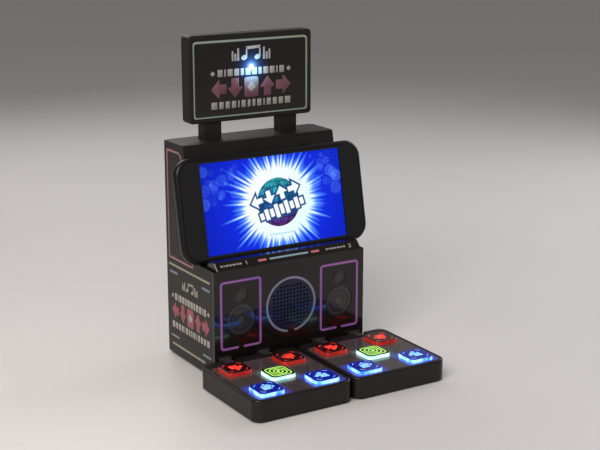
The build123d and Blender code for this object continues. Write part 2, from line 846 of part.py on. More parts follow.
def phone_side_key():
    """Key in the phone's upper long edge."""
    return extrude(key_plane().offset(-key_root) * key_sketch(0), amount=key_root + key_proud)


# ---- pads -----------------------------------------------------------------------------------------------
def pad_posts(centre_x):
    """X and Y of the four screw posts in a pad."""
    half_x = pad_width / 2 - pad_post_inset
    half_y = pad_length / 2 - pad_post_inset
    return [(centre_x + x, pad_middle_y + y) for x in (-half_x, half_x) for y in (-half_y, half_y)]


def pad_outline(centre_x, inset):
    """Rounded outline of a pad, drawn in by an inset."""
    outline = RectangleRounded(pad_width - 2 * inset, pad_length - 2 * inset, pad_corner - inset)
    return Pos(centre_x, pad_middle_y) * outline


def pad_shell(centre_x):
    """Pad's case: open below, with a rebate for the panel and two hinge notches at the back."""
    shell = flat(pad_outline(centre_x, 0), pad_foot_height, pad_height)
    shell = fillet(shell.faces().sort_by(Axis.Z)[-1].edges(), pad_top_round)
    ledge_bottom = panel_underside - panel_ledge_thickness
    shell -= flat(pad_outline(centre_x, pad_wall), pad_foot_height, ledge_bottom)
    place = Pos(centre_x, panel_centre_y)
    seat = RectangleRounded(panel_width + 2 * seat_gap, panel_length + 2 * seat_gap, panel_corner)
    light_width = panel_width - 2 * panel_ledge
    light_length = panel_length - 2 * panel_ledge
    light = RectangleRounded(light_width, light_length, panel_corner - panel_ledge)
    shell -= flat(place * seat, panel_underside, pad_height)
    shell -= flat(place * light, ledge_bottom, panel_underside)
    for x, y in pad_posts(centre_x):
        shell += rod_z(pad_post_radius, x, y, pad_base_top, pad_post_top)
        shell -= rod_z(screw_radius + screw_gap, x, y, pad_base_top, pad_post_top - screw_end_wall)
    notch_bottom = hinge_z - hinge_barrel_radius - hinge_notch_gap
    notch_front = hinge_y - hinge_barrel_radius - hinge_notch_gap
    half_notch = hinge_notch_width / 2
    for x in hinge_places(centre_x):
        shell += block(x - half_notch - hinge_lug, x + half_notch + hinge_lug, notch_front - hinge_notch_wall,
                       pad_back_y - pad_wall, notch_bottom - hinge_notch_wall, ledge_bottom)
        shell -= block(x - half_notch, x + half_notch, notch_front, pad_back_y, notch_bottom, pad_height)
        half_pin = hinge_pin_length / 2 + seat_gap
        shell -= rod_x(hinge_pin_radius + pin_gap / 2, hinge_y, hinge_z, x - half_pin, x + half_pin)
    return shell


def hinge_places(centre_x):
    """X of a pad's two hinges."""
    return [centre_x + offset for offset in (-hinge_spread, hinge_spread)]


def pad_base(centre_x):
    """Bottom plate of a pad, with posts for its board and countersunk screw holes."""
    head_top = pad_foot_height + screw_head_height
    base = flat(pad_outline(centre_x, pad_wall + seat_gap), pad_foot_height, pad_base_top)
    for x, y in pad_posts(centre_x):
        base -= rod_z(screw_radius + screw_gap, x, y, pad_foot_height, pad_base_top)
        base -= rod_z(screw_head_radius + seat_gap, x, y, pad_foot_height, head_top)
    for x in (centre_x - board_post_x, centre_x + board_post_x):
        for y in (pad_middle_y - board_post_front, pad_middle_y + board_post_back):
            base += rod_z(board_post_radius, x, y, pad_base_top, pad_board_bottom)
    return base


def pad_feet(centre_x):
    """Four rubber feet under a pad."""
    half_x = pad_width / 2 - pad_foot_side
    xs = (centre_x - half_x, centre_x + half_x)
    ys = (pad_front_y + pad_foot_front, pad_back_y - pad_foot_back)
    return group([rod_z(pad_foot_radius, x, y, 0, pad_foot_height) for x in xs for y in ys])


def pad_screws(centre_x):
    """Four screws up through a pad's base into its case."""
    screws = []
    for x, y in pad_posts(centre_x):
        head_top = pad_foot_height + screw_head_height
        screw = rod_z(screw_head_radius, x, y, pad_foot_height + seat_gap, head_top)
        screws.append(screw + rod_z(screw_radius, x, y, head_top, head_top + pad_screw_length))
    return group(screws)


def pad_panel(centre_x):
    """Glossy top panel of a pad, with a square hole for each button."""
    outline = Pos(centre_x, panel_centre_y) * RectangleRounded(panel_width, panel_length, panel_corner)
    hole = button_size + 2 * running_gap
    opening = RectangleRounded(hole, hole, button_corner)
    holes = [Pos(x, y) * opening for x, y in button_places(centre_x).values()]
    return flat(outline - holes, panel_underside, panel_top)


def button_places(centre_x):
    """Name and centre of each of a pad's five buttons."""
    places = {"centre": (centre_x, panel_centre_y)}
    for row, y in (("rear", panel_centre_y + button_pitch), ("front", panel_centre_y - button_pitch)):
        for side, x in (("left", centre_x - button_pitch), ("right", centre_x + button_pitch)):
            places[row + "_" + side] = (x, y)
    return places


def button(x, y):
    """Hollow translucent cap with a flange below the panel and a stem over its dome."""
    place = Pos(x, y)
    flange = button_size + 2 * (running_gap + button_flange)
    flange_bottom = button_flange_top - button_flange_thickness
    ceiling = button_top - button_top_thickness
    inside = button_size - 2 * button_wall
    square = RectangleRounded(button_size, button_size, button_corner)
    cap = flat(place * square, button_flange_top, button_top)
    cap = fillet(cap.faces().sort_by(Axis.Z)[-1].edges(), button_edge_round)
    skirt = place * RectangleRounded(flange, flange, button_corner + button_flange)
    hollow = place * RectangleRounded(inside, inside, button_corner - button_wall)
    cap += flat(skirt, flange_bottom, button_flange_top)
    cap -= flat(hollow, flange_bottom, ceiling)
    return cap + rod_z(button_stem_radius, x, y, button_stem_bottom, ceiling)


def pad_board(centre_x):
    """Circuit board of a pad, with a small light beside the middle of each button."""
    width = pad_width - 2 * (pad_post_inset + pad_post_radius + pad_board_margin)
    length = panel_length - 2 * pad_board_inset
    outline = Pos(centre_x, panel_centre_y - pad_board_forward) * Rectangle(width, length)
    board = flat(outline, pad_board_bottom, pad_board_top)
    for x, y in button_places(centre_x).values():
        light = Pos(x + led_offset, y) * Rectangle(led_size, led_width)
        board += flat(light, pad_board_top, pad_board_top + led_height)
    return board


def pad_membrane(centre_x):
    """Rubber sheet on the board, with a dome under each button and a window for each light."""
    width = 2 * (button_pitch + dome_radius + membrane_margin)
    top = pad_board_top + membrane_thickness
    shoulder = dome_top - dome_step_height
    sheet = flat(Pos(centre_x, panel_centre_y) * Rectangle(width, width), pad_board_top, top)
    for x, y in button_places(centre_x).values():
        window = Rectangle(led_size + 2 * led_window_gap, led_width + 2 * led_window_gap)
        sheet += rod_z(dome_radius, x, y, pad_board_top, shoulder)
        sheet += rod_z(dome_radius - dome_step, x, y, shoulder, dome_top)
        sheet -= flat(Pos(x + led_offset, y) * window, pad_board_top, top)
    return sheet


def pad_hinge_pins(centre_x):
    """Two steel pins fixed in a pad's lugs."""
    half = hinge_pin_length / 2
    places = hinge_places(centre_x)
    return group([rod_x(hinge_pin_radius, hinge_y, hinge_z, x - half, x + half) for x in places])


def hinge_brackets():
    """Four brackets on the front panel; each reaches into a pad's notch and turns on its pin."""
    brackets = []
    for centre_x in pad_centres.values():
        for x in hinge_places(centre_x):
            x0 = x - hinge_barrel_width / 2
            x1 = x + hinge_barrel_width / 2
            bracket = block(x - bracket_width / 2, x + bracket_width / 2, front_y - bracket_plate, front_y,
                            hinge_z - bracket_below, hinge_z + bracket_above)
            bracket += block(x0, x1, hinge_y, front_y, hinge_z - bracket_arm / 2, hinge_z + bracket_arm / 2)
            bracket += rod_x(hinge_barrel_radius, hinge_y, hinge_z, x0, x1)
            bracket -= rod_x(hinge_pin_radius + pin_gap, hinge_y, hinge_z, x0, x1)
            brackets.append(bracket)
    return group(brackets)


pad_centres = {
    "left": -(pad_side_gap + pad_width) / 2,
    "right": (pad_side_gap + pad_width) / 2,
}

nodes = {
    "cabinet_left_side": cabinet_side(-1),
    "cabinet_right_side": cabinet_side(1),
    "front_panel": front_panel(),
    "top_cover": top_cover(),
    "rear_cover": rear_cover(),
    "base_plate": base_plate(),
    "backrest_panel": backrest_panel(),
    "phone_shelf": phone_shelf(),
    "shelf_lip": shelf_lip(),
    "cradle_rubber_strips": cradle_strips(),
    "cabinet_feet": cabinet_feet(),
    "cabinet_screws": cabinet_screws(),
    "speaker_grille": speaker_grille(),
    "speaker_basket": speaker_basket(),
    "speaker_cone": speaker_cone(),
    "main_board": main_board(),
    "battery_tray": battery_tray(),
    "batteries": batteries(),
    "battery_contacts": battery_contacts(),
    "battery_door": battery_door(),
    "power_switch_case": power_switch_case(),
    "power_switch_knob": power_switch_knob(),
    "sign_posts": sign_posts(),
    "sign_rear_shell": sign_rear_shell(),
    "sign_bezel": sign_bezel(),
    "sign_panel": sign_panel(),
    "sign_light_board": sign_light_board(),
    "sign_led": sign_led(),
    "phone_shell": phone_shell(),
    "phone_glass": phone_glass(),
    "phone_display": phone_display(),
    "phone_side_key": phone_side_key(),
    "hinge_brackets": hinge_brackets(),
}
for side, centre_x in pad_centres.items():
    nodes[side + "_pad_shell"] = pad_shell(centre_x)
    nodes[side + "_pad_base"] = pad_base(centre_x)
    nodes[side + "_pad_panel"] = pad_panel(centre_x)
    nodes[side + "_pad_board"] = pad_board(centre_x)
    nodes[side + "_pad_membrane"] = pad_membrane(centre_x)
    nodes[side + "_pad_feet"] = pad_feet(centre_x)
    nodes[side + "_pad_screws"] = pad_screws(centre_x)
    nodes[side + "_pad_hinge_pins"] = pad_hinge_pins(centre_x)
    for name, (x, y) in button_places(centre_x).items():
        nodes[side + "_pad_" + name + "_button"] = button(x, y)

os.makedirs("parts", exist_ok=True)
for name, shape in nodes.items():
    export_step(shape, "parts/" + name + ".step")

print("pad hinge line y", round(hinge_y, 3), "z", round(hinge_z, 3))
print("battery door hinge y", round(door_axis_y, 3), "z", round(door_axis_z, 3))
print("phone face line y", round(phone_face_y, 3), "z", round(phone_face_z, 3), "lift", phone_travel)
print("folding range of the pads", pad_fold, "and of the battery door", door_range)
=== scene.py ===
import logging
from dataclasses import dataclass
from enum import Enum
from math import cos, degrees, pi, radians, sin
from typing import Any, Iterable, Sequence

import bpy
import numpy as np
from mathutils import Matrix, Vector


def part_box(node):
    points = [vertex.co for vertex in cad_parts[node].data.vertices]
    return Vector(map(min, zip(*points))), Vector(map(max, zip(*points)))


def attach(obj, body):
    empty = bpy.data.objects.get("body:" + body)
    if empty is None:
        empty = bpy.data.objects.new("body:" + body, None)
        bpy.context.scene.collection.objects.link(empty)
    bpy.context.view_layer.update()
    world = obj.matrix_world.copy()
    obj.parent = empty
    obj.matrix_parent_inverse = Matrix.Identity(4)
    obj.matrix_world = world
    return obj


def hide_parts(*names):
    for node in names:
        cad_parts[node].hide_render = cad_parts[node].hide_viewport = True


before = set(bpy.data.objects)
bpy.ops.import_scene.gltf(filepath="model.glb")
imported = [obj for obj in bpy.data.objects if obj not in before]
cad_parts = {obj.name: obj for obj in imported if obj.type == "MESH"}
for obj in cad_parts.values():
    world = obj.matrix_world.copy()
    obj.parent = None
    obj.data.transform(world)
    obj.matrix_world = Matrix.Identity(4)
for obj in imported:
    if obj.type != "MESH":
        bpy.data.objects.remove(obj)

# Dressing of a tabletop dance machine for two players' fingers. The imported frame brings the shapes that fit
# and move. This script adds the printed neon lines, the blocks and arrows, the lit caps, the battery springs,
# the picture on the phone, and a finish for every surface. Lengths are millimetres unless a name or a comment
# says otherwise, and MM turns them into metres.

Array = np.ndarray
Colour = tuple[float, float, float]
Point = tuple[float, float, float]

MM = 0.001
TINY = 1e-9
CABINET = "cabinet"
PHONE = "phone"
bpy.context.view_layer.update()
LOG = logging.getLogger("dance_machine")


# ---- outlines and paths in two dimensions ----------------------------------------------------------------
def arc(centre: Sequence[float], radius: float, start: float, stop: float, steps: int) -> Array:
    """Points on a circle: centre + radius * (cos a, sin a), with a from start to stop in degrees.

    Args:
        centre: Middle of the circle.
        radius: Its radius.
        start: First angle in degrees.
        stop: Last angle in degrees.
        steps: Number of points.

    Returns:
        An array of points, one row each.
    """
    angle = np.radians(np.linspace(start, stop, steps))
    return np.stack([centre[0] + radius * np.cos(angle), centre[1] + radius * np.sin(angle)], axis=1)


def rounded_box(centre: Sequence[float], width: float, height: float, corner: float, steps: int = 6) -> Array:
    """Rectangle whose corners are quarter circles; it runs from one end of its lower side to the other.

    Args:
        centre: Middle of the rectangle.
        width: Size along the first direction.
        height: Size along the second direction.
        corner: Radius of the corners.
        steps: Points in each corner.

    Returns:
        An anticlockwise closed outline.
    """
    x, y = width / 2 - corner, height / 2 - corner
    corners = ((x, -y, -90), (x, y, 0), (-x, y, 90), (-x, -y, 180))
    rows = [arc((centre[0] + a, centre[1] + b), corner, turn, turn + 90, steps) for a, b, turn in corners]
    return np.concatenate(rows)


def rounded_polygon(points: Sequence[Sequence[float]], corner: float, steps: int = 5) -> Array:
    """Closed polygon with each corner replaced by a quadratic curve that starts and ends corner away from it.

    Args:
        points: The polygon's corners.
        corner: Distance from a corner at which its curve starts.
        steps: Points in each curve.

    Returns:
        The closed outline.
    """
    here = np.array(points, float)
    before = np.roll(here, 1, axis=0) - here
    after = np.roll(here, -1, axis=0) - here
    start = here + corner * before / np.linalg.norm(before, axis=1, keepdims=True)
    stop = here + corner * after / np.linalg.norm(after, axis=1, keepdims=True)
    t = np.linspace(0, 1, steps)[None, :, None]
    curve = (1 - t) ** 2 * start[:, None] + 2 * t * (1 - t) * here[:, None] + t ** 2 * stop[:, None]
    return curve.reshape(-1, 2)


def turned(points: Array, angle: float, centre: Sequence[float] = (0, 0)) -> Array:
    """Points turned by an angle in degrees about the origin and then moved to a centre."""
    c, s = cos(radians(angle)), sin(radians(angle))
    return points @ np.array([[c, s], [-s, c]]) + np.array(centre, float)


def arrow(centre: Sequence[float], width: float, height: float, angle: float) -> Array:
    """Block arrow that points up before it is turned: a triangular head on a straight stem.

    Args:
        centre: Middle of the arrow.
        width: Width of the head.
        height: Length of the arrow.
        angle: Turn in degrees, anticlockwise.

    Returns:
        A closed outline with softened corners.
    """
    neck, stem, softening = -height * 0.05, width * 0.24, min(width, height) * 0.06
    corners = [(-stem, -height / 2), (stem, -height / 2), (stem, neck), (width / 2, neck), (0, height / 2),
               (-width / 2, neck), (-stem, neck)]
    return turned(rounded_polygon(corners, softening, 3), angle, centre)


def diamond(centre: Sequence[float], size: float) -> Array:
    """Square standing on a corner."""
    return turned(rounded_box((0, 0), size, size, size * 0.12, 3), 45, centre)


def opened(outline: Array, gap: float) -> Array:
    """Closed outline cut open in the middle of the side that joins its last point to its first.

    Args:
        outline: Closed outline.
        gap: Width of the gap.

    Returns:
        An open path.
    """
    first, last = outline[0], outline[-1]
    middle = (first + last) / 2
    ahead = (first - last) / np.linalg.norm(first - last)
    return np.concatenate([[middle + ahead * gap / 2], outline, [middle - ahead * gap / 2]])


# ---- flat faces of the machine ---------------------------------------------------------------------------
@dataclass(frozen=True)
class Sheet:
    """A flat face that is printed on.

    Attributes:
        origin: A point of the face, in millimetres.
        right: Direction of the first coordinate.
        up: Direction of the second coordinate.
    """

    origin: Point
    right: Point
    up: Point

    def place(self, flat: Array, height: Array | float) -> Array:
        """Put flat points on the face: origin + a * right + b * up + height * (right x up), in metres.

        Args:
            flat: Points (a, b).
            height: Distance in front of the face, for each point or for all.

        Returns:
            Points in space.
        """
        right, up = np.array(self.right, float), np.array(self.up, float)
        facing = np.cross(right, up)
        rise = np.broadcast_to(np.asarray(height, float), flat.shape[:-1])
        spot = np.array(self.origin, float) + flat[..., :1] * right + flat[..., 1:] * up
        return (spot + rise[..., None] * facing) * MM


class Side(Enum):
    """The sides of a node's box that are printed on."""

    FRONT = "front"
    LEFT = "left"
    RIGHT = "right"
    TOP = "top"


def in_mm(corners: Iterable[Vector]) -> list[Array]:
    """Corners of a box in millimetres."""
    return [np.array(corner) / MM for corner in corners]


def face_of(node: str, side: Side) -> Sheet:
    """Sheet on one side of a node's box; its coordinates are counted from X = 0 or Y = 0, and Z = 0.

    Args:
        node: The CAD node.
        side: The side of its box.

    Returns:
        The sheet.
    """
    low, high = in_mm(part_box(node))
    sheets = {
        Side.FRONT: Sheet((0, low[1], 0), (1, 0, 0), (0, 0, 1)),
        Side.LEFT: Sheet((low[0], 0, 0), (0, -1, 0), (0, 0, 1)),
        Side.RIGHT: Sheet((high[0], 0, 0), (0, 1, 0), (0, 0, 1)),
        Side.TOP: Sheet((0, 0, high[2]), (1, 0, 0), (0, 1, 0)),
    }
    return sheets[side]


# ---- meshes ----------------------------------------------------------------------------------------------
@dataclass
class Shape:
    """Points and faces of a piece that is still being put together.

    Attributes:
        points: Places in space, in metres.
        faces: The points of each face, anticlockwise as seen from outside.
        across: A pair of UV values for each point.
    """

    points: Array
    faces: list[Sequence[int]]
    across: Array

    @staticmethod
    def joined(shapes: Iterable["Shape"]) -> "Shape":
        """Several shapes as one, each with its own points."""
        shapes, faces, count = list(shapes), [], 0
        for shape in shapes:
            faces += [[index + count for index in face] for face in shape.faces]
            count += len(shape.points)
        return Shape(np.concatenate([shape.points for shape in shapes]), faces,
                     np.concatenate([shape.across for shape in shapes]))


def make(name: str, shape: Shape, finish: "Finish", body: str = CABINET,
         smooth: bool = True) -> bpy.types.Object:
    """Make a piece from a shape, dress it, and let it ride on a body.

    Args:
        name: The piece's name.
        shape: Its points and faces.
        finish: Its finish.
        body: The CAD body it rides on.
        smooth: Whether its faces are shaded smooth.

    Returns:
        The new object.
    """
    mesh = bpy.data.meshes.new(name)
    mesh.from_pydata(shape.points.tolist(), [], [list(face) for face in shape.faces])
    corner_points = np.zeros(len(mesh.loops), np.int32)
    mesh.loops.foreach_get("vertex_index", corner_points)
    layer = mesh.uv_layers.new(name="UVMap")
    layer.data.foreach_set("uv", shape.across[corner_points].astype(np.float32).ravel())
    mesh.polygons.foreach_set("use_smooth", np.full(len(mesh.polygons), smooth))
    mesh.update()
    mesh.validate()
    piece = bpy.data.objects.new(name, mesh)
    bpy.context.scene.collection.objects.link(piece)
    mesh.materials.append(finish.material())
    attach(piece, body)
    LOG.info("piece %s rides on %s: %d points, %d faces", name, body, len(mesh.vertices), len(mesh.polygons))
    return piece


def grid_faces(rows: int, columns: int, closed_rows: bool, closed_columns: bool) -> Array:
    """Quads between neighbouring rows and columns of a grid of points.

    Args:
        rows: Number of rows.
        columns: Number of points in a row.
        closed_rows: Whether the last row joins the first.
        closed_columns: Whether each row's end joins its start.

    Returns:
        One row of four indices for each quad.
    """
    row = np.arange(rows if closed_rows else rows - 1)[:, None]
    column = np.arange(columns if closed_columns else columns - 1)[None, :]
    next_row, next_column = (row + 1) % rows, (column + 1) % columns
    quads = [row * columns + column, next_row * columns + column,
             next_row * columns + next_column, row * columns + next_column]
    return np.stack(np.broadcast_arrays(*quads), axis=-1).reshape(-1, 4)


def skin(rings: int, count: int, closed: bool = False, clockwise: bool = False) -> list[list[int]]:
    """Outward faces of a skin over a row of rings, with a flat face on the first and the last ring.

    Args:
        rings: Number of rings.
        count: Number of points in a ring.
        closed: Whether the last ring joins the first, so that the skin has no ends.
        clockwise: Whether the rings turn clockwise about the way from ring to ring.

    Returns:
        The points of each face.
    """
    faces = grid_faces(rings, count, closed, True)[:, ::-1].tolist()
    if not closed:
        faces += [list(range(count))[::-1], list(range((rings - 1) * count, rings * count))]
    return [face[::-1] for face in faces] if clockwise else faces


def rightward(path: Array, closed: bool, limit: float) -> Array:
    """Direction to the right of a flat path at each point, longer at corners so that the width holds.

    With m the mean of the headings before and after a point, it is (m y, -m x) over the cosine between m
    and the heading.

    Args:
        path: Points of the path.
        closed: Whether the path joins its own start.
        limit: Least value of that cosine, which blunts sharp corners.

    Returns:
        One direction for each point.
    """
    ahead = np.roll(path, -1, axis=0) - path
    ahead /= np.maximum(np.linalg.norm(ahead, axis=1, keepdims=True), TINY)
    behind = np.roll(ahead, 1, axis=0)
    if not closed:
        ahead[-1], behind[0] = ahead[-2], ahead[0]
    mean = ahead + behind
    mean /= np.maximum(np.linalg.norm(mean, axis=1, keepdims=True), TINY)
    cosine = np.clip(np.sum(mean * ahead, axis=1), limit, 1)
    return np.stack([mean[:, 1], -mean[:, 0]], axis=1) / cosine[:, None]


def ribbon(sheet: Sheet, path: Array, width: float, height: float, closed: bool = False) -> Shape:
    """Raised line along a path, like a fine tube half sunk in the face.

    The section is half an ellipse: a = width/2 * cos t, h = height * sin t, with t from 0 to pi. It is
    carried along the path, and mitred at the corners. An open line narrows to round ends: its width follows
    sin t while the path advances by width/2 * (1 - cos t).

    Args:
        sheet: The face it lies on.
        path: The line's middle.
        width: Its width.
        height: Its height over the face.
        closed: Whether the line joins its own start.

    Returns:
        The closed shape; its UV holds the length along the line and the place across it.
    """
    scale, half = np.ones(len(path)), width / 2
    if not closed:
        turn = np.radians(np.array([8.0, 30.0, 60.0, 90.0]))
        reach, narrow = half * (1 - np.cos(turn))[:, None], np.sin(turn)
        start, stop = path[1] - path[0], path[-1] - path[-2]
        head = path[0] + reach * start / np.linalg.norm(start)
        tail = path[-1] - reach[::-1] * stop / np.linalg.norm(stop)
        path = np.concatenate([head, path[1:-1], tail])
        scale = np.concatenate([narrow, scale[1:-1], narrow[::-1]])
    t = np.linspace(0, pi, 9)
    sideways = rightward(path, closed, 0.4) * scale[:, None]
    flat = path[:, None] + sideways[:, None] * (half * np.cos(t))[None, :, None]
    rise = height * np.sin(t)[None, :] * np.sqrt(scale)[:, None]
    length = np.concatenate([[0], np.cumsum(np.linalg.norm(np.diff(path, axis=0), axis=1))])
    across = np.stack(np.broadcast_arrays(length[:, None], (0.5 + 0.5 * np.cos(t))[None, :]), axis=-1)
    faces = skin(len(path), len(t), closed, clockwise=True)
    return Shape(sheet.place(flat, rise).reshape(-1, 3), faces, across.reshape(-1, 2))


def relief(sheet: Sheet, outlines: Iterable[Array], height: float, bevel: float, lift: float = 0.0) -> Shape:
    """Flat raised shapes with bevelled edges: each outline rises, then draws in by the bevel to its top.

    Args:
        sheet: The face they lie on.
        outlines: Closed outlines.
        height: Their height over the face.
        bevel: Width and height of the bevel.
        lift: Height of their foot over the face.

    Returns:
        The closed shapes as one.
    """
    shapes = []
    for outline in outlines:
        following = np.roll(outline, -1, axis=0)
        area = np.sum(outline[:, 0] * following[:, 1] - following[:, 0] * outline[:, 1])
        ring = outline if area > 0 else outline[::-1]
        flat = np.stack([ring, ring, ring - rightward(ring, True, 0.5) * bevel])
        rise = lift + np.array([0, height - bevel, height])[:, None] * np.ones(len(ring))
        points = sheet.place(flat, rise).reshape(-1, 3)
        shapes.append(Shape(points, skin(3, len(ring)), flat.reshape(-1, 2)))
    return Shape.joined(shapes)


def spun(profile: Array, origin: Point, axis: Point, side: Point, steps: int) -> Shape:
    """Surface of revolution about an axis.

    Point (r, d) goes to origin + d * axis + r * (cos a * side + sin a * (axis x side)), for a all round.

    Args:
        profile: Radius and depth of each point; both ends lie on the axis or meet each other.
        origin: A point on the axis, in millimetres.
        axis: Direction of the axis.
        side: A direction across it.
        steps: Number of points round the axis.

    Returns:
        The shape, closed when the profile starts and ends on the axis.
    """
    a = np.linspace(0, 2 * pi, steps, endpoint=False)[None, :, None]
    along, out = np.array(axis, float), np.array(side, float)
    ring = np.cos(a) * out + np.sin(a) * np.cross(along, out)
    radius = np.maximum(profile[:, 0], 1e-4)[:, None, None]
    points = np.array(origin, float) + profile[:, 1][:, None, None] * along + radius * ring
    rings = len(profile)
    across = np.stack(np.broadcast_arrays(a[..., 0] / (2 * pi), np.linspace(0, 1, rings)[:, None]), axis=-1)
    return Shape(points.reshape(-1, 3) * MM, skin(rings, steps), across.reshape(-1, 2))


def tube(path: Array, radius: float, steps: int = 8) -> Shape:
    """Round wire along a path in space, with a circle in the plane across the path at each point.

    The circle is measured from the direction across both the path and a guide close to X.

    Args:
        path: Points of its middle, in millimetres.
        radius: The wire's radius.
        steps: Points round the wire.

    Returns:
        The wire with flat ends.
    """
    along = np.gradient(path, axis=0)
    along /= np.linalg.norm(along, axis=1, keepdims=True)
    first = np.cross(along, (1.003, 0.007, 0.002))
    first /= np.linalg.norm(first, axis=1, keepdims=True)
    second = np.cross(along, first)
    a = np.linspace(0, 2 * pi, steps, endpoint=False)[None, :, None]
    points = path[:, None] + radius * (np.cos(a) * first[:, None] + np.sin(a) * second[:, None])
    rings = len(path)
    across = np.stack(np.broadcast_arrays(np.linspace(0, 1, rings)[:, None], a[..., 0]), axis=-1)
    return Shape(points.reshape(-1, 3) * MM, skin(rings, steps), across.reshape(-1, 2))


# ---- finishes --------------------------------------------------------------------------------------------
class Tree:
    """A material's nodes, with short calls that add and join them."""

    def __init__(self, name: str) -> None:
        """Start a material that holds one shader and its output."""
        self.material = bpy.data.materials.new(name)
        self.material.use_nodes = True
        self.graph = self.material.node_tree
        self.graph.nodes.clear()
        self.output = self.add("ShaderNodeOutputMaterial")
        self.shader = self.add("ShaderNodeBsdfPrincipled")
        self.join(self.shader.outputs["BSDF"], self.output.inputs["Surface"])

    def join(self, source: Any, target: Any) -> None:
        """Link one socket to another."""
        self.graph.links.new(source, target)

    def add(self, kind: str, inputs: dict[Any, Any] | None = None, **settings: Any) -> Any:
        """Add a node.

        Args:
            kind: The node's type.
            inputs: A value or an output socket for each named or numbered input.
            settings: The node's own settings.

        Returns:
            The node.
        """
        node = self.graph.nodes.new(kind)
        for key, value in settings.items():
            setattr(node, key, value)
        for key, value in (inputs or {}).items():
            self.set(node.inputs[key], value)
        return node

    def set(self, socket: Any, value: Any) -> None:
        """Give a socket a value, or link an output to it."""
        if isinstance(value, bpy.types.NodeSocket):
            self.join(value, socket)
        else:
            socket.default_value = value

    def base(self, **values: Any) -> None:
        """Set the shader's sockets, with underscores for spaces."""
        for key, value in values.items():
            self.set(self.shader.inputs[key.replace("_", " ")], value)

    def coordinates(self, turn: Point = (0, 0, 0), scale: Point = (1, 1, 1)) -> Any:
        """Object coordinates, turned and scaled.

        Args:
            turn: Angles about the three axes, in degrees.
            scale: Factors along them.

        Returns:
            The vector socket.
        """
        source = self.add("ShaderNodeTexCoord").outputs["Object"]
        angles = tuple(radians(angle) for angle in turn)
        mapping = self.add("ShaderNodeMapping", {"Vector": source, "Rotation": angles, "Scale": scale})
        return mapping.outputs["Vector"]

    def noise(self, vector: Any, per_metre: float, detail: float = 3.0, roughness: float = 0.55) -> Any:
        """Value of a noise texture, from 0 to 1."""
        node = self.add("ShaderNodeTexNoise", {"Vector": vector, "Scale": per_metre, "Detail": detail,
                                               "Roughness": roughness})
        return node.outputs["Fac"]

    def maths(self, operation: str, *values: Any) -> Any:
        """One arithmetic step on up to three values or sockets."""
        node = self.add("ShaderNodeMath", dict(enumerate(values)), operation=operation)
        return node.outputs[0]

    def span(self, value: Any, low: float, high: float, start: float = 0.0, stop: float = 1.0) -> Any:
        """Map low..high to start..stop, held at both ends."""
        node = self.add("ShaderNodeMapRange", {"Value": value, "From Min": low, "From Max": high,
                                               "To Min": start, "To Max": stop})
        return node.outputs["Result"]

    def axis(self, letter: str) -> Any:
        """Object coordinate along one axis, in metres."""
        return self.add("ShaderNodeSeparateXYZ", {"Vector": self.coordinates()}).outputs[letter]

    def vector(self, operation: str, first: Any, second: Any = (0, 0, 0)) -> Any:
        """Result of one step on two vectors."""
        node = self.add("ShaderNodeVectorMath", {0: first, 1: second}, operation=operation)
        return node.outputs["Value" if operation == "DISTANCE" else "Vector"]

    def mix(self, factor: Any, first: Any, second: Any) -> Any:
        """Blend two colours."""
        node = self.add("ShaderNodeMix", data_type="RGBA")
        colour_inputs = [socket for socket in node.inputs if socket.type == "RGBA"]
        self.set(node.inputs[0], factor)
        self.set(colour_inputs[0], first)
        self.set(colour_inputs[1], second)
        return next(socket for socket in node.outputs if socket.type == "RGBA")

    def bump(self, height: Any, strength: float, distance: float) -> None:
        """Join a height to the shader's normal."""
        node = self.add("ShaderNodeBump", {"Height": height, "Strength": strength, "Distance": distance * MM})
        self.join(node.outputs["Normal"], self.shader.inputs["Normal"])


def rgba(colour: Colour, gain: float = 1.0) -> tuple[float, float, float, float]:
    """Colour with a full alpha, brightened by a factor."""
    return (colour[0] * gain, colour[1] * gain, colour[2] * gain, 1.0)


@dataclass(frozen=True)
class Finish:
    """A surface finish; its material is made once and shared.

    No finish has the name of a slot in the record, because the frame's own materials have those.

    Attributes:
        name: The material's name.
        colour: Its main colour, linear.
    """

    name: str
    colour: Colour

    def material(self) -> bpy.types.Material:
        """The finish's material, made at first use."""
        found = bpy.data.materials.get(self.name)
        if found is None:
            tree = Tree(self.name)
            self.dress(tree)
            found = tree.material
        return found

    def dress(self, tree: Tree) -> None:
        """Fill in the material's nodes."""
        tree.base(Base_Color=rgba(self.colour))


@dataclass(frozen=True)
class Moulded(Finish):
    """Moulded plastic or rubber with a fine grain, slight blotches and an uneven sheen."""

    roughness: float = 0.5
    grain: float = 0.35
    bumpiness: float = 0.25
    gloss_coat: float = 0.0
    specular: float = 0.3

    def dress(self, tree: Tree) -> None:
        """Grain from fine noise, and colour and sheen from coarse noise."""
        place = tree.coordinates()
        coarse = tree.noise(place, 45.0, 4.0)
        fine = tree.noise(place, 1 / (self.grain * MM), 2.0, 0.6)
        tint = tree.mix(coarse, rgba(self.colour, 0.8), rgba(self.colour, 1.25))
        speck = tree.span(fine, 0.62, 0.8, 0.0, 0.25)
        tree.base(Base_Color=tree.mix(speck, tint, rgba(self.colour, 1.9)),
                  Roughness=tree.span(coarse, 0.3, 0.7, self.roughness - 0.06, self.roughness + 0.08),
                  Coat_Weight=self.gloss_coat)
        tree.base(Coat_Roughness=0.12, Specular_IOR_Level=self.specular)
        tree.bump(fine, self.bumpiness, 0.06)


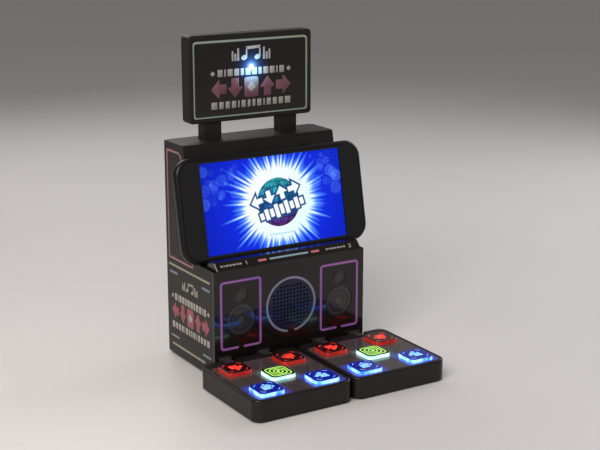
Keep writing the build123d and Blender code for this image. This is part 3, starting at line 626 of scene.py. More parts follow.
@dataclass(frozen=True)
class Printed(Finish):
    """Black printed skin with a clear coat, faint hairline scratches and a little dust."""

    roughness: float = 0.35
    coat: float = 0.4
    coat_roughness: float = 0.08
    specular: float = 0.3

    def dress(self, tree: Tree) -> None:
        """Blotches, scratches stretched along the face, and a slight ripple."""
        tree.base(Base_Color=self.tone(tree), Roughness=self.sheen(tree), Coat_Weight=self.coat,
                  Coat_Roughness=self.coat_roughness, Specular_IOR_Level=self.specular)
        tree.bump(tree.noise(tree.coordinates(), 260.0, 3.0), 0.12, 0.05)

    def tone(self, tree: Tree) -> Any:
        """Base colour: the ink with faint warm blotches and paler dust."""
        place = tree.coordinates()
        blotch = tree.noise(place, 38.0, 5.0)
        dust = tree.span(tree.noise(place, 2400.0, 1.0), 0.70, 0.78, 0.0, 0.3)
        tint = tree.mix(blotch, rgba(self.colour, 0.75), rgba(self.colour, 1.3))
        return tree.mix(dust, tint, rgba((0.09, 0.085, 0.08)))

    def sheen(self, tree: Tree) -> Any:
        """Roughness: hairline scratches a little rougher than the rest."""
        hair = tree.noise(tree.coordinates((12, 8, 25), (30, 30, 900)), 1.0, 2.0)
        return tree.span(hair, 0.55, 0.75, self.roughness, self.roughness + 0.12)


@dataclass(frozen=True)
class DriverPrintWithPaintedShade(Printed):
    """The front's glossy print, with a woofer and tweeter printed on each side, and painted highlights and
    painted shade on them.

    Attributes:
        spread: Distance of the drivers from the middle.
        drivers: Height and radius of each.
        print_and_painted_shades: Grey at each fraction of a driver's radius; over the printed driver, the pale
            rim and dust cap are painted highlights and the dark cone is painted shade.
    """

    spread: float = 37.0
    drivers: tuple[tuple[float, float], ...] = ((38.0, 10.2), (54.0, 5.0))
    # Printed drivers: the pale stops are painted highlights on the rim and dust cap, the dark ones painted
    # shade in the cone.
    print_and_painted_shades: tuple[tuple[float, float], ...] = (
        (0.0, 0.055), (0.22, 0.035), (0.34, 0.012), (0.42, 0.03), (0.78, 0.014), (0.86, 0.05), (0.97, 0.03))

    def tone(self, tree: Tree) -> Any:
        """The ink, with a printed driver round each centre: a painted highlight on the rim and on the dust
        cap, and painted shade in the cone.
        """
        colour = super().tone(tree)
        flat = tree.vector("MULTIPLY", tree.vector("ABSOLUTE", tree.coordinates()), (1, 0, 1))
        for height, radius in self.drivers:
            far = tree.vector("DISTANCE", flat, (self.spread * MM, 0, height * MM))
            ring = tree.maths("DIVIDE", far, radius * MM)
            # Concentric greys of the printed driver, with painted highlight and painted shade in them.
            shade = tree.add("ShaderNodeValToRGB", {"Fac": ring})
            elements = shade.color_ramp.elements
            for index, (spot, grey) in enumerate(self.print_and_painted_shades):
                stop = elements[index] if index < 2 else elements.new(spot)
                stop.position = spot
                stop.color = (grey * 1.05, grey * 0.98, grey, 1.0)
            inside = tree.span(ring, 0.98, 1.02, 1.0, 0.0)
            colour = tree.mix(inside, colour, shade.outputs["Color"])
        return colour


@dataclass(frozen=True)
class SmokedPanel(Printed):
    """The pads' smoked sheet, with light leaking into it beside each lit cap.

    Attributes:
        caps: For each cap, the colour of its light, and its place across and along from the pad's middle.
            Both pads and both sides of a pad are alike.
        middle: The right pad's middle in X and Y.
        half: Half the width of a cap.
        reach: How far the light shows beyond a cap.
    """

    caps: tuple[tuple[Colour, float, float], ...] = ()
    middle: tuple[float, float] = (0.0, 0.0)
    half: float = 8.3
    reach: float = 6.5

    def dress(self, tree: Tree) -> None:
        """The print, with a glow that falls off with the square of the distance beyond each cap's edge."""
        super().dress(tree)
        off_pad = tree.maths("SUBTRACT", tree.maths("ABSOLUTE", tree.axis("X")), self.middle[0] * MM)
        across = tree.maths("ABSOLUTE", off_pad)
        along = tree.maths("SUBTRACT", tree.axis("Y"), self.middle[1] * MM)
        glow = rgba((0.0, 0.0, 0.0))
        for colour, side, deep in self.caps:
            squares = []
            for run, place in ((across, side), (along, deep)):
                off = tree.maths("ABSOLUTE", tree.maths("SUBTRACT", run, place * MM))
                beyond = tree.maths("MAXIMUM", tree.maths("SUBTRACT", off, self.half * MM), 0.0)
                squares.append(tree.maths("POWER", beyond, 2.0))
            far = tree.maths("SQRT", tree.maths("ADD", *squares))
            near = tree.maths("POWER", tree.span(far, 0.0, self.reach * MM, 1.0, 0.0), 2.0)
            glow = tree.mix(near, glow, rgba(colour))
        tree.base(Emission_Color=glow, Emission_Strength=1.0)


@dataclass(frozen=True)
class Lamp:
    """The small lamp in the sign, whose light falls on the panel and on what is printed there.

    Attributes:
        height: Its height over the table.
        reach: How far its light shows.
    """

    height: float = 190.0
    reach: float = 19.0

    def near(self, tree: Tree) -> Any:
        """One at the lamp, and zero at its reach, by the distance in X and Z."""
        flat = tree.vector("MULTIPLY", tree.coordinates(), (1, 0, 1))
        far = tree.vector("DISTANCE", flat, (0, 0, self.height * MM))
        return tree.span(far, 0.0, self.reach * MM, 1.0, 0.0)


LAMP_IN_SIGN = Lamp()


@dataclass(frozen=True)
class SignPrint(Printed):
    """The sign's glossy print, lit round the small lamp in it."""

    lamp: Lamp = LAMP_IN_SIGN

    def dress(self, tree: Tree) -> None:
        """The print, with a wide blue glow and a white-blue core that fall off as powers of nearness."""
        super().dress(tree)
        near = self.lamp.near(tree)
        core = tree.maths("POWER", near, 9.0)
        wide = tree.maths("POWER", near, 3.4)
        tint = tree.mix(core, rgba((0.03, 0.2, 0.8)), rgba((0.55, 0.85, 1.0)))
        strength = tree.maths("MULTIPLY_ADD", core, 4.0, tree.maths("MULTIPLY", wide, 0.6))
        tree.base(Emission_Color=tint, Emission_Strength=strength)


@dataclass(frozen=True)
class Neon(Finish):
    """Printed neon line: a pale core that fades to a deep edge, glowing a little.

    Attributes:
        edge: Colour at the line's edges.
        glow: Strength of its light.
        second: Colour that the core drifts to along the line.
    """

    edge: Colour = (0.1, 0.02, 0.12)
    glow: float = 0.3
    second: Colour | None = None

    def dress(self, tree: Tree) -> None:
        """Blend core and edge by the place across the line, from the piece's own UV."""
        own = tree.add("ShaderNodeUVMap", uv_map="UVMap").outputs["UV"]
        across = tree.add("ShaderNodeSeparateXYZ", {"Vector": own}).outputs["Y"]
        off = tree.maths("ABSOLUTE", tree.maths("SUBTRACT", across, 0.5))
        patchy = tree.noise(tree.coordinates(), 120.0, 3.0)
        fade = tree.span(tree.maths("MULTIPLY_ADD", patchy, 0.06, off), 0.22, 0.46)
        drift = tree.span(tree.noise(tree.coordinates(), 26.0, 1.0), 0.4, 0.62)
        core = tree.mix(drift, rgba(self.colour), rgba(self.second or self.colour))
        colour = tree.mix(fade, core, rgba(self.edge))
        tree.base(Base_Color=colour, Roughness=0.4, Coat_Weight=0.3)
        tree.base(Emission_Color=colour, Emission_Strength=self.glow)


@dataclass(frozen=True)
class Ink(Finish):
    """Flat print in one colour, or in two colours as fine level stripes.

    Attributes:
        second: The other stripe's colour.
        pitch: Height of one pair of stripes; 0 for none.
        glow: Strength of its light.
        lamp: The lamp that lights it, if one does.
        upright: Whether the stripes stand upright, side by side along X.
    """

    second: Colour = (0.0, 0.0, 0.0)
    pitch: float = 0.0
    glow: float = 0.06
    lamp: Lamp | None = None
    upright: bool = False

    def dress(self, tree: Tree) -> None:
        """Worn, slightly uneven ink; stripes follow the height, or X where they stand upright."""
        place = tree.coordinates()
        worn = tree.noise(place, 700.0, 4.0, 0.7)
        colour = tree.mix(worn, rgba(self.colour, 0.78), rgba(self.colour, 1.15))
        if self.pitch:
            run = tree.axis("X" if self.upright else "Z")
            wave = tree.maths("SINE", tree.maths("MULTIPLY", run, 2 * pi / (self.pitch * MM)))
            colour = tree.mix(tree.span(wave, -0.35, 0.35), rgba(self.second), colour)
        tree.base(Base_Color=colour, Roughness=0.45, Emission_Color=colour, Emission_Strength=self.glow)
        tree.bump(worn, 0.15, 0.03)
        if self.lamp:
            near = tree.maths("POWER", self.lamp.near(tree), 1.7)
            shine = tree.mix(tree.span(near, 0.0, 0.5), colour, rgba((0.35, 0.7, 1.0)))
            strength = tree.maths("MULTIPLY_ADD", near, 2.2, self.glow)
            tree.base(Emission_Color=shine, Emission_Strength=strength)


@dataclass(frozen=True)
class LitCap(Finish):
    """Translucent button lit from below: bright sides and a darker printed top.

    Attributes:
        top: Colour of the top.
        hot: Colour of the brightest rim.
        glow: Strength of the sides' light.
        top_glow: Strength of the top's light.
        lid_height: Height of the top over the table at rest.
        lid_edge: Distances below the top between which the sides turn into the top.
    """

    top: Colour = (0.02, 0.05, 0.4)
    hot: Colour = (0.6, 0.8, 1.0)
    glow: float = 2.0
    top_glow: float = 0.6
    lid_height: float = 16.0
    lid_edge: tuple[float, float] = (0.45, 0.12)

    def dress(self, tree: Tree) -> None:
        """Sides and top told apart by the height on the piece itself, with cloudy light inside."""
        low, high = ((self.lid_height - below) * MM for below in self.lid_edge)
        lid = tree.span(tree.axis("Z"), low, high)
        cloud = tree.noise(tree.coordinates(), 160.0, 3.0)
        side = tree.mix(tree.span(cloud, 0.35, 0.65), rgba(self.colour), rgba(self.hot))
        cap = tree.mix(tree.span(cloud, 0.3, 0.7), rgba(self.top, 0.8), rgba(self.top, 1.25))
        colour = tree.mix(lid, side, cap)
        strength = tree.span(lid, 0.0, 1.0, self.glow, self.top_glow)
        tree.base(Base_Color=colour, Roughness=0.22, Coat_Weight=0.5)
        tree.base(Emission_Color=colour, Emission_Strength=strength)


@dataclass(frozen=True)
class Lit(Finish):
    """Plain light, slightly uneven."""

    glow: float = 3.0

    def dress(self, tree: Tree) -> None:
        """Emission with soft clouds in it."""
        cloud = tree.noise(tree.coordinates(), 400.0, 2.0)
        colour = tree.mix(cloud, rgba(self.colour, 0.85), rgba(self.colour, 1.1))
        tree.base(Base_Color=colour, Roughness=0.3, Emission_Color=colour, Emission_Strength=self.glow)


@dataclass(frozen=True)
class Metal(Finish):
    """Plated steel or anodised aluminium, brushed along X."""

    roughness: float = 0.28
    metallic: float = 1.0

    def dress(self, tree: Tree) -> None:
        """Fine streaks in the roughness and the height."""
        streak = tree.noise(tree.coordinates(scale=(40, 2500, 2500)), 1.0, 2.0)
        blotch = tree.noise(tree.coordinates(), 60.0, 4.0)
        tree.base(Base_Color=tree.mix(blotch, rgba(self.colour, 0.85), rgba(self.colour, 1.1)),
                  Roughness=tree.span(streak, 0.3, 0.7, self.roughness - 0.05, self.roughness + 0.1),
                  Metallic=self.metallic)
        tree.bump(streak, 0.1, 0.02)


@dataclass(frozen=True)
class CircuitBoard(Finish):
    """Green solder resist with paler tracks and tinned dots."""

    def dress(self, tree: Tree) -> None:
        """Tracks from the edges of coarse cells, and dots from the centres of fine ones."""
        place = tree.coordinates()
        edge = tree.add("ShaderNodeTexVoronoi", {"Vector": place, "Scale": 260.0}, feature="DISTANCE_TO_EDGE",
                        voronoi_dimensions="3D")
        dots = tree.add("ShaderNodeTexVoronoi", {"Vector": place, "Scale": 420.0})
        track = tree.span(edge.outputs["Distance"], 0.03, 0.08, 1.0, 0.0)
        tin = tree.span(dots.outputs["Distance"], 0.12, 0.18, 1.0, 0.0)
        green = tree.mix(track, rgba(self.colour), rgba(self.colour, 2.2))
        tree.base(Base_Color=tree.mix(tin, green, rgba((0.6, 0.58, 0.52))), Metallic=tin)
        tree.base(Roughness=0.35, Coat_Weight=0.3)
        tree.bump(track, 0.3, 0.05)


@dataclass(frozen=True)
class CellSleeve(Finish):
    """Shrunk plastic sleeve on the round cells, with a pale band at each end.

    Attributes:
        band: Colour of the bands.
        middle: Half the length between the bands.
    """

    band: Colour = (0.42, 0.42, 0.4)
    middle: float = 14.0

    def dress(self, tree: Tree) -> None:
        """The bands lie beyond a set distance from the middle, along X."""
        band = tree.span(tree.maths("ABSOLUTE", tree.axis("X")), self.middle * MM, (self.middle + 0.4) * MM)
        wear = tree.noise(tree.coordinates(), 90.0, 4.0)
        sleeve = tree.mix(wear, rgba(self.colour, 0.8), rgba(self.colour, 1.2))
        tree.base(Base_Color=tree.mix(band, sleeve, rgba(self.band)), Roughness=0.25, Coat_Weight=0.4)


@dataclass(frozen=True)
class PhoneFront(Finish):
    """Front glass: black print round a clear window.

    Attributes:
        window: Width and height of the window.
        centre: Its middle in Y and Z.
        lean: Its lean in degrees.
        clearness: How far the window lets the picture through.
    """

    window: tuple[float, float] = (104.05, 58.5)
    centre: tuple[float, float] = (0.0, 0.0)
    lean: float = 11.3
    clearness: float = 0.93

    def dress(self, tree: Tree) -> None:
        """Black glass outside the window; inside, a clear sheet with a weak reflection."""
        y, z = self.centre
        c, s = cos(radians(self.lean)), sin(radians(self.lean))
        along = tree.maths("MULTIPLY_ADD", tree.axis("Y"), s, tree.maths("MULTIPLY", tree.axis("Z"), c))
        up = tree.maths("ABSOLUTE", tree.maths("SUBTRACT", along, (y * s + z * c) * MM))
        side = tree.maths("ABSOLUTE", tree.axis("X"))
        within = [tree.maths("LESS_THAN", off, size / 2 * MM) for off, size in zip((side, up), self.window)]
        inside = tree.maths("MULTIPLY", *within)
        smear = tree.span(tree.noise(tree.coordinates(), 30.0, 3.0), 0.3, 0.7, 0.05, 0.12)
        tree.base(Base_Color=rgba(self.colour), Roughness=smear, Coat_Weight=0.5)
        tree.base(Alpha=tree.maths("SUBTRACT", 1.0, tree.maths("MULTIPLY", inside, self.clearness)))


@dataclass(frozen=True)
class Picture(Finish):
    """The lit picture, carried by the piece's own colour attribute."""

    glow: float = 1.25

    def dress(self, tree: Tree) -> None:
        """Emission from the attribute named picture."""
        colour = tree.add("ShaderNodeAttribute", attribute_name="picture").outputs["Color"]
        tree.base(Base_Color=(0.002, 0.002, 0.003, 1.0), Roughness=0.6, Specular_IOR_Level=0.0,
                  Emission_Color=colour, Emission_Strength=self.glow)


INK_BLACK: Colour = (0.0100, 0.0074, 0.0062)

CABINET_SKIN = Printed("cabinet_skin", INK_BLACK, 0.45, 0.15, 0.2)
FRONT_SKIN = DriverPrintWithPaintedShade("front_skin", (0.0072, 0.0052, 0.0042), 0.16, 0.5, 0.03, 0.2)
SIGN_SKIN = SignPrint("sign_skin", INK_BLACK, 0.25, 0.5)
BLACK_MOULDED = Moulded("black_moulded", (0.0105, 0.0082, 0.0072), 0.5)
PAD_CASE = Moulded("pad_case", (0.0086, 0.0064, 0.0054), 0.42, 0.5, 0.12, 0.2, 0.25)
HINGE_GLOSS = Moulded("hinge_gloss", (0.036, 0.032, 0.028), 0.2, 0.5, 0.1, 0.8, 0.8)
SOFT_RUBBER = Moulded("soft_rubber", (0.01, 0.0095, 0.009), 0.8, 0.3, 0.4)
CLEAR_RUBBER = Moulded("clear_rubber", (0.42, 0.41, 0.38), 0.5, 0.4, 0.2)
# Black grille; the blue in its colour is a painted reflection of blue light.
GRILLE_BLACK_BLUE_REFLECTION = Moulded("grille_black_blue_reflection", (0.006, 0.007, 0.03), 0.42, 0.3, 0.2, 0.3)
PAPER = Moulded("pressed_paper", (0.012, 0.012, 0.03), 0.85, 0.25, 0.6)
STEEL = Metal("plated_steel", (0.62, 0.61, 0.6))
BASKET = Metal("painted_basket", (0.05, 0.05, 0.055), 0.45, 0.3)
ANODISED = Metal("anodised_case", (0.016, 0.014, 0.014), 0.34, 0.7)
BOARD = CircuitBoard("green_board", (0.01, 0.06, 0.025))
SLEEVE = CellSleeve("shrunk_sleeve", (0.03, 0.075, 0.1))
PALE_KNOB = Moulded("pale_knob", (0.6, 0.58, 0.53), 0.45)
LAMP = Lit("lamp", (0.75, 0.93, 1.0), 14.0)
PICTURE = Picture("lit_picture", (0.1, 0.3, 1.0))
NEON_PINK = Neon("neon_pink", (0.36, 0.15, 0.15), (0.1, 0.02, 0.025), 0.16, (0.26, 0.12, 0.17))
NEON_PURPLE = Neon("neon_purple", (0.27, 0.1, 0.28), (0.07, 0.012, 0.1), 0.2, (0.2, 0.08, 0.3))
NEON_PALE = Neon("neon_pale", (0.19, 0.18, 0.26), (0.03, 0.035, 0.07), 0.18, (0.15, 0.17, 0.24))
NEON_CYAN = Neon("neon_cyan", (0.2, 0.29, 0.34), (0.03, 0.05, 0.07), 0.25)
NEON_SIGN = Neon("neon_sign", (0.26, 0.27, 0.2), (0.04, 0.05, 0.035), 0.16, (0.22, 0.28, 0.27))
INK_CREAM = Ink("ink_cream", (0.4, 0.37, 0.33))
INK_LINE = Ink("ink_line", (0.32, 0.3, 0.21))
INK_LAMPLIT = Ink("ink_lamplit", (0.3, 0.29, 0.27), lamp=LAMP_IN_SIGN)
INK_ROSE = Ink("ink_rose", (0.4, 0.11, 0.13), (0.24, 0.055, 0.075), 1.3, 0.08)
INK_MAUVE = Ink("ink_mauve", (0.19, 0.062, 0.085), (0.085, 0.032, 0.055), 1.25, 0.09, LAMP_IN_SIGN, True)
INK_BLUE = Ink("ink_blue", (0.2, 0.24, 0.29))
INK_RED = Ink("ink_red", (0.42, 0.11, 0.12), glow=0.2)
INK_LABEL = Ink("ink_label", (0.33, 0.31, 0.29))
CAP_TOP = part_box("left_pad_centre_button")[1].z / MM
CAP_CENTRE = (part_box("right_pad_centre_button")[0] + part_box("right_pad_centre_button")[1]) / 2 / MM
CAP_CORNER = (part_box("right_pad_rear_right_button")[0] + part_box("right_pad_rear_right_button")[1]) / 2 / MM
CAP_STEP = (CAP_CORNER.x - CAP_CENTRE.x, CAP_CORNER.y - CAP_CENTRE.y)
SMOKED = SmokedPanel(
    "smoked_sheet", (0.068, 0.052, 0.049), 0.2, 0.4, 0.05, 0.3,
    caps=(((0.07, 0.004, 0.003), CAP_STEP[0], CAP_STEP[1]), ((0.04, 0.11, 0.1), 0.0, 0.0),
          ((0.006, 0.035, 0.62), CAP_STEP[0], -CAP_STEP[1])),
    middle=(CAP_CENTRE.x, CAP_CENTRE.y))
RED_CAP = LitCap("red_cap", (0.36, 0.008, 0.006), (0.018, 0.0012, 0.001), (0.5, 0.022, 0.015), 0.5, 0.4,
                 CAP_TOP)
GREEN_CAP = LitCap("green_cap", (0.3, 0.8, 0.72), (0.01, 0.018, 0.006), (0.75, 1.0, 0.95), 1.5, 0.3, CAP_TOP)
BLUE_CAP = LitCap("blue_cap", (0.015, 0.08, 1.0), (0.0012, 0.009, 0.2), (0.22, 0.48, 1.0), 3.6, 0.6, CAP_TOP)
RED_ICON = Lit("red_icon", (0.75, 0.03, 0.016), 1.15)
GREEN_ICON = Lit("green_icon", (0.36, 0.72, 0.12), 1.2)
BLUE_ICON = Lit("blue_icon", (0.16, 0.36, 1.0), 1.3)


# ---- sub-assemblies ---------------------------------------------------------------------------------------
@dataclass
class Cabinet:
    """Dresses the cabinet's own nodes and prints its front, its lip and its two sides."""

    line: float = 2.0
    thin_line: float = 1.7
    side_line: float = 1.6
    line_height: float = 0.12
    ink_height: float = 0.08
    window_x: float = 37.05
    window_z: float = 41.65
    window_width: float = 28.3
    window_height: float = 43.9
    window_corner: float = 1.8
    window_gap: float = 3.3
    ring_z: float = 41.75
    ring_radius: float = 17.95
    ring_gap: float = 5.0
    plate: float = 0.4
    plate_width: float = 8.3
    plate_height: float = 9.3
    wire: float = 0.25
    coil_foot: float = 3.5
    coil_tip: float = 1.6
    coil_turns: float = 3.0

    def build(self) -> None:
        """Dress the nodes and add the prints."""
        self.dress()
        self.front()
        self.lip()
        for side in (Side.LEFT, Side.RIGHT):
            self.side(side)
        self.contacts()

    def dress(self) -> None:
        """Give each of the cabinet's nodes its finish."""
        finishes = {
            CABINET_SKIN: ("cabinet_left_side", "cabinet_right_side", "top_cover"),
            FRONT_SKIN: ("front_panel", "shelf_lip"),
            BLACK_MOULDED: ("rear_cover", "base_plate", "backrest_panel", "phone_shelf", "battery_tray",
                            "battery_door", "power_switch_case", "sign_posts", "sign_rear_shell",
                            "sign_bezel"),
            HINGE_GLOSS: ("hinge_brackets",),
            GRILLE_BLACK_BLUE_REFLECTION: ("speaker_grille",),
            SIGN_SKIN: ("sign_panel",),
            SOFT_RUBBER: ("cradle_rubber_strips", "cabinet_feet"),
            STEEL: ("cabinet_screws", "battery_contacts"),
            BASKET: ("speaker_basket",),
            PAPER: ("speaker_cone",),
            BOARD: ("main_board", "sign_light_board"),
            SLEEVE: ("batteries",),
            PALE_KNOB: ("power_switch_knob",),
            LAMP: ("sign_led",),
        }
        dress_nodes(finishes)

    def front(self) -> None:
        """Neon windows round the printed drivers, and the broken ring round the grille."""
        sheet = face_of("front_panel", Side.FRONT)
        for name, x in (("left", -self.window_x), ("right", self.window_x)):
            loop = rounded_box((x, self.window_z), self.window_width, self.window_height, self.window_corner)
            shape = ribbon(sheet, opened(loop, self.window_gap), self.line, self.line_height)
            make(name + "_neon_window", shape, NEON_PURPLE)
        half_gap = degrees(self.ring_gap / 2 / self.ring_radius)
        path = arc((0, self.ring_z), self.ring_radius, -90 + half_gap, 270 - half_gap, 72)
        make("speaker_neon_ring", ribbon(sheet, path, self.line, self.line_height), NEON_PALE)

    def lip(self) -> None:
        """Player marks, dashes and the middle bar on the sloping lip, and a painted highlight down its left
        edge.
        """
        low, high = in_mm(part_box("shelf_lip"))
        slope = 0.5 ** 0.5
        sheet = Sheet((0, low[1], low[2]), (1, 0, 0), (0, slope, slope))
        up = (high[2] - low[2]) / slope / 2

        def line(points: Sequence[Sequence[float]], width: float, height: float = self.ink_height) -> Shape:
            """Line through points that are given by X and the way up from the lip's middle."""
            return ribbon(sheet, np.array(points, float) + (0, up), width, height)

        bar = line([[-14.5, 0], [14.5, 0]], self.thin_line, self.line_height)
        make("lip_middle_bar", bar, NEON_CYAN)
        dashes = [line([[x - 3.2, 0], [x + 3.2, 0]], self.thin_line, self.line_height) for x in (-19.8, 19.8)]
        make("lip_dashes", Shape.joined(dashes), INK_RED)
        widths = np.array((1.6, 0.9, 2.1, 1.5, 2.0, 1.3, 1.8))
        edges = np.concatenate([[0], np.cumsum(widths + 0.65)])
        blocks = [rounded_box((start + edge + width / 2, up), width, 1.25, 0.3, 3)
                  for start in (-50.0, 28.0) for edge, width in zip(edges, widths)]
        one = [[-31.9, 0.4], [-31.2, 1.1], [-31.2, -1.1]]
        two = [[46.0, 0.6], [46.4, 1.1], [47.3, 1.1], [47.6, 0.5], [46.0, -1.1], [47.7, -1.1]]
        marks = [relief(sheet, blocks, self.ink_height, 0.04), line(one, 0.5), line(two, 0.5)]
        make("lip_player_marks", Shape.joined(marks), INK_LABEL)
        # Pale line down the lip's left edge: a painted edge highlight in cream ink.
        tick = line([[low[0] + 0.7, 0.5 - up], [low[0] + 0.7, up - 0.5]], 0.7)
        make("lip_edge_highlight_line", tick, INK_LINE)

    def side(self, side: Side) -> None:
        """Outline, lines, dashes and badge on one side of the cabinet.

        Args:
            side: The left or the right side.
        """
        name = side.value
        sheet = face_of("cabinet_" + name + "_side", side)
        toward = -1 if side is Side.LEFT else 1
        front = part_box("front_panel")[0].y / MM

        def spot(depth: float, height: float) -> tuple[float, float]:
            """Point on the sheet at a depth behind the front and a height over the table."""
            return (toward * (depth + front), height)

        def levels(*places: tuple[float, float, float]) -> Shape:
            """Level lines, each between two depths at a height."""
            paths = [np.array([spot(near, height), spot(far, height)]) for near, far, height in places]
            return Shape.joined([ribbon(sheet, path, self.side_line, self.line_height) for path in paths])

        corners = [spot(*place) for place in
                   ((28.0, 67.8), (61.5, 67.8), (61.5, 139.4), (44.4, 139.4), (41.7, 136.8))]
        outline = ribbon(sheet, rounded_polygon(corners, 0.9), self.thin_line, self.line_height, closed=True)
        make(name + "_neon_outline", outline, NEON_PINK)
        make(name + "_cream_lines", levels((5.3, 62.8, 63.0), (13.2, 60.2, 8.1)), INK_LINE)
        dashes = levels((50.2, 62.0, 58.0), (5.2, 16.4, 57.6), (49.2, 61.6, 13.8), (4.8, 16.2, 13.0))
        make(name + "_blue_dashes", dashes, INK_BLUE)
        SIDE_BADGE.build(name + "_side", sheet, spot(33.0, 0)[0], INK_CREAM, INK_ROSE)

    def contacts(self) -> None:
        """Battery contacts: a coiled spring at one end of each cell and a turned button at the other."""
        low, high = in_mm(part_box("battery_contacts"))
        cells_low, cells_high = in_mm(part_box("batteries"))
        middle = (cells_low + cells_high) / 2
        pitch = (cells_high[2] - cells_low[2] - (cells_high[1] - cells_low[1])) / 2
        shapes = []
        for row in (-1, 0, 1):
            centre = middle + (0, 0, row * pitch)
            for side in (-1, 1):
                end = (high if side > 0 else low)[0]
                button_end = side == (1 if row == 0 else -1)
                shapes.append(self.contact(centre, end, side, abs(end) - cells_high[0], button_end))
        piece = make("battery_springs", Shape.joined(shapes), STEEL)
        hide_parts("battery_contacts")

    def contact(self, centre: Array, end: float, side: int, room: float, button_end: bool) -> Shape:
        """Plate at one end of a cell, with a turned button or a narrowing coil that reaches to the cell.

        The coil is (end - side * d(t), y + r(t) cos a, z + r(t) sin a), with three turns of a, and r falling
        evenly, while t runs from 0 to 1.

        Args:
            centre: The cell's middle.
            end: X of the plate's outer face.
            side: 1 at the right end, -1 at the left.
            room: Length between the plate's outer face and the cell.
            button_end: Whether the cell's button is at this end.

        Returns:
            The shape.
        """
        _, y, z = centre
        reach = room - self.plate
        outline = rounded_box((side * y, z), self.plate_width, self.plate_height, 1.0, 4)
        plate = relief(Sheet((end, 0, 0), (0, side, 0), (0, 0, 1)), [outline], self.plate, 0.08, -self.plate)
        if button_end:
            profile = np.array([[0, 0], [1.7, 0], [1.6, reach * 0.5], [1.1, reach * 0.9], [0, reach]])
            button = spun(profile, (end - side * self.plate, y, z), (-side, 0, 0), (0, 1, 0), 20)
            return Shape.joined([plate, button])
        t = np.linspace(0, 1, 90)
        radius = self.coil_foot + (self.coil_tip - self.coil_foot) * t
        turn = 2 * pi * self.coil_turns * t
        x = end - side * (self.plate + self.wire + (reach - 2 * self.wire) * t)
        coil = np.stack([x, y + radius * np.cos(turn), z + radius * np.sin(turn)], axis=1)
        return Shape.joined([plate, tube(coil, self.wire)])


@dataclass(frozen=True)
class Badge:
    """The printed badge of the sides and the sign: notes, blocks between diamonds, arrows, and blocks again.

    Attributes:
        notes: Lowest and highest height of the pair of notes.
        upper: The same for the upper row of small blocks.
        arrows: The same for the row of arrows.
        lower: The same for the lower row of small blocks.
        half: Half the width of the widest row.
        star: Size of the diamonds beside the upper row.
        height: Height of the print over its face.
        bevel: Bevel of its edges.
    """

    notes: tuple[float, float]
    upper: tuple[float, float]
    arrows: tuple[float, float]
    lower: tuple[float, float]
    half: float
    star: float
    height: float = 0.08
    bevel: float = 0.03

    def build(self, name: str, sheet: Sheet, x: float, small: Finish, block: Finish) -> None:
        """Make the badge's pieces.

        Args:
            name: Start of the pieces' names.
            sheet: The face they lie on.
            x: Middle of the badge on the sheet.
            small: Finish of the notes, the blocks and the diamonds.
            block: Finish of the arrows.
        """
        upper = self.blocks(x, self.upper, 0.82, (3, 1, 3, 3, 2, 3))
        lower = self.blocks(x, self.lower, 0.98, (4, 3, 3, 3, 1, 3, 2))
        middle = sum(self.upper) / 2
        stars = [diamond((x + side * self.half * 0.94, middle), self.star * 0.75) for side in (-1, 1)]
        light = relief(sheet, [*self.pair_of_notes(x), *upper, *lower, *stars], self.height, self.bevel)
        make(name + "_small_print", light, small)
        bottom, top = self.arrows
        middle, tall = (bottom + top) / 2, top - bottom
        pitch = 2 * self.half / 5
        wide = pitch * 0.94
        shapes = []
        for step, turn in ((-2, 90), (-1, 180), (1, 0), (2, -90)):
            width, length = (tall, wide) if abs(turn) == 90 else (wide, tall)
            shapes.append(arrow((x + step * pitch, middle), width, length, turn))
        shapes.append(rounded_box((x, middle), pitch * 0.86, tall, 1.6, 6))
        make(name + "_arrows", relief(sheet, shapes, self.height, self.bevel), block)
        hub = diamond((x, middle), tall * 0.36)
        make(name + "_hub", relief(sheet, [hub], self.height + 0.05, self.bevel), small)

    def pair_of_notes(self, x: float) -> list[Array]:
        """Outlines of a pair of notes under one beam, with three level bars on each side of it.

        Args:
            x: Middle of the badge on the sheet.

        Returns:
            The outlines.
        """
        low, high = self.notes
        tall = high - low
        egg = arc((0, 0), 1, 0, 345, 24) * np.array([tall * 0.24, tall * 0.17])
        heads = [turned(egg, 18, (x + tall * place, low + tall * 0.19)) for place in (-0.55, 0.5)]
        stems = [rounded_box((x + tall * place, low + tall * 0.56), tall * 0.1, tall * 0.72, 0.1, 2)
                 for place in (-0.36, 0.69)]
        left, right = x - tall * 0.41, x + tall * 0.74
        beam = rounded_polygon([(left, high - tall * 0.26), (right, high - tall * 0.2),
                                (right, high), (left, high - tall * 0.06)], 0.15, 3)
        levels = [rounded_box((x + side * tall * (1.02 + 0.22 * step), low + tall * size / 2),
                              tall * 0.14, tall * size, 0.2, 3)
                  for side in (-1, 1) for step, size in enumerate((0.85, 0.5, 0.68))]
        return [*heads, *stems, beam, *levels]

    def blocks(self, x: float, heights: tuple[float, float], part: float,
               widths: tuple[int, ...]) -> list[Array]:
        """Outlines of a row of small blocks whose right half mirrors its left half.

        Args:
            x: Middle of the badge on the sheet.
            heights: Lowest and highest height of the row.
            part: Width of the row as a part of the badge's.
            widths: Widths of the left half's blocks, in units that the row's width gives.

        Returns:
            The outlines.
        """
        reach = self.half * part
        gap = reach * 0.05
        unit = (2 * reach - gap * (2 * len(widths) - 1)) / (2 * sum(widths))
        sizes = unit * np.array([*widths, *widths[::-1]])
        starts = x - reach + np.concatenate([[0], np.cumsum(sizes + gap)])
        bottom, top = heights
        return [rounded_box((start + size / 2, (bottom + top) / 2), size, top - bottom, 0.35, 3)
                for start, size in zip(starts, sizes)]


SIDE_BADGE = Badge((49.0, 56.0), (39.4, 44.2), (25.9, 38.4), (19.8, 24.2), 26.8, 3.2)
SIGN_BADGE = Badge((194.6, 204.0), (185.0, 189.6), (170.5, 183.6), (164.2, 168.8), 30.2, 3.4)


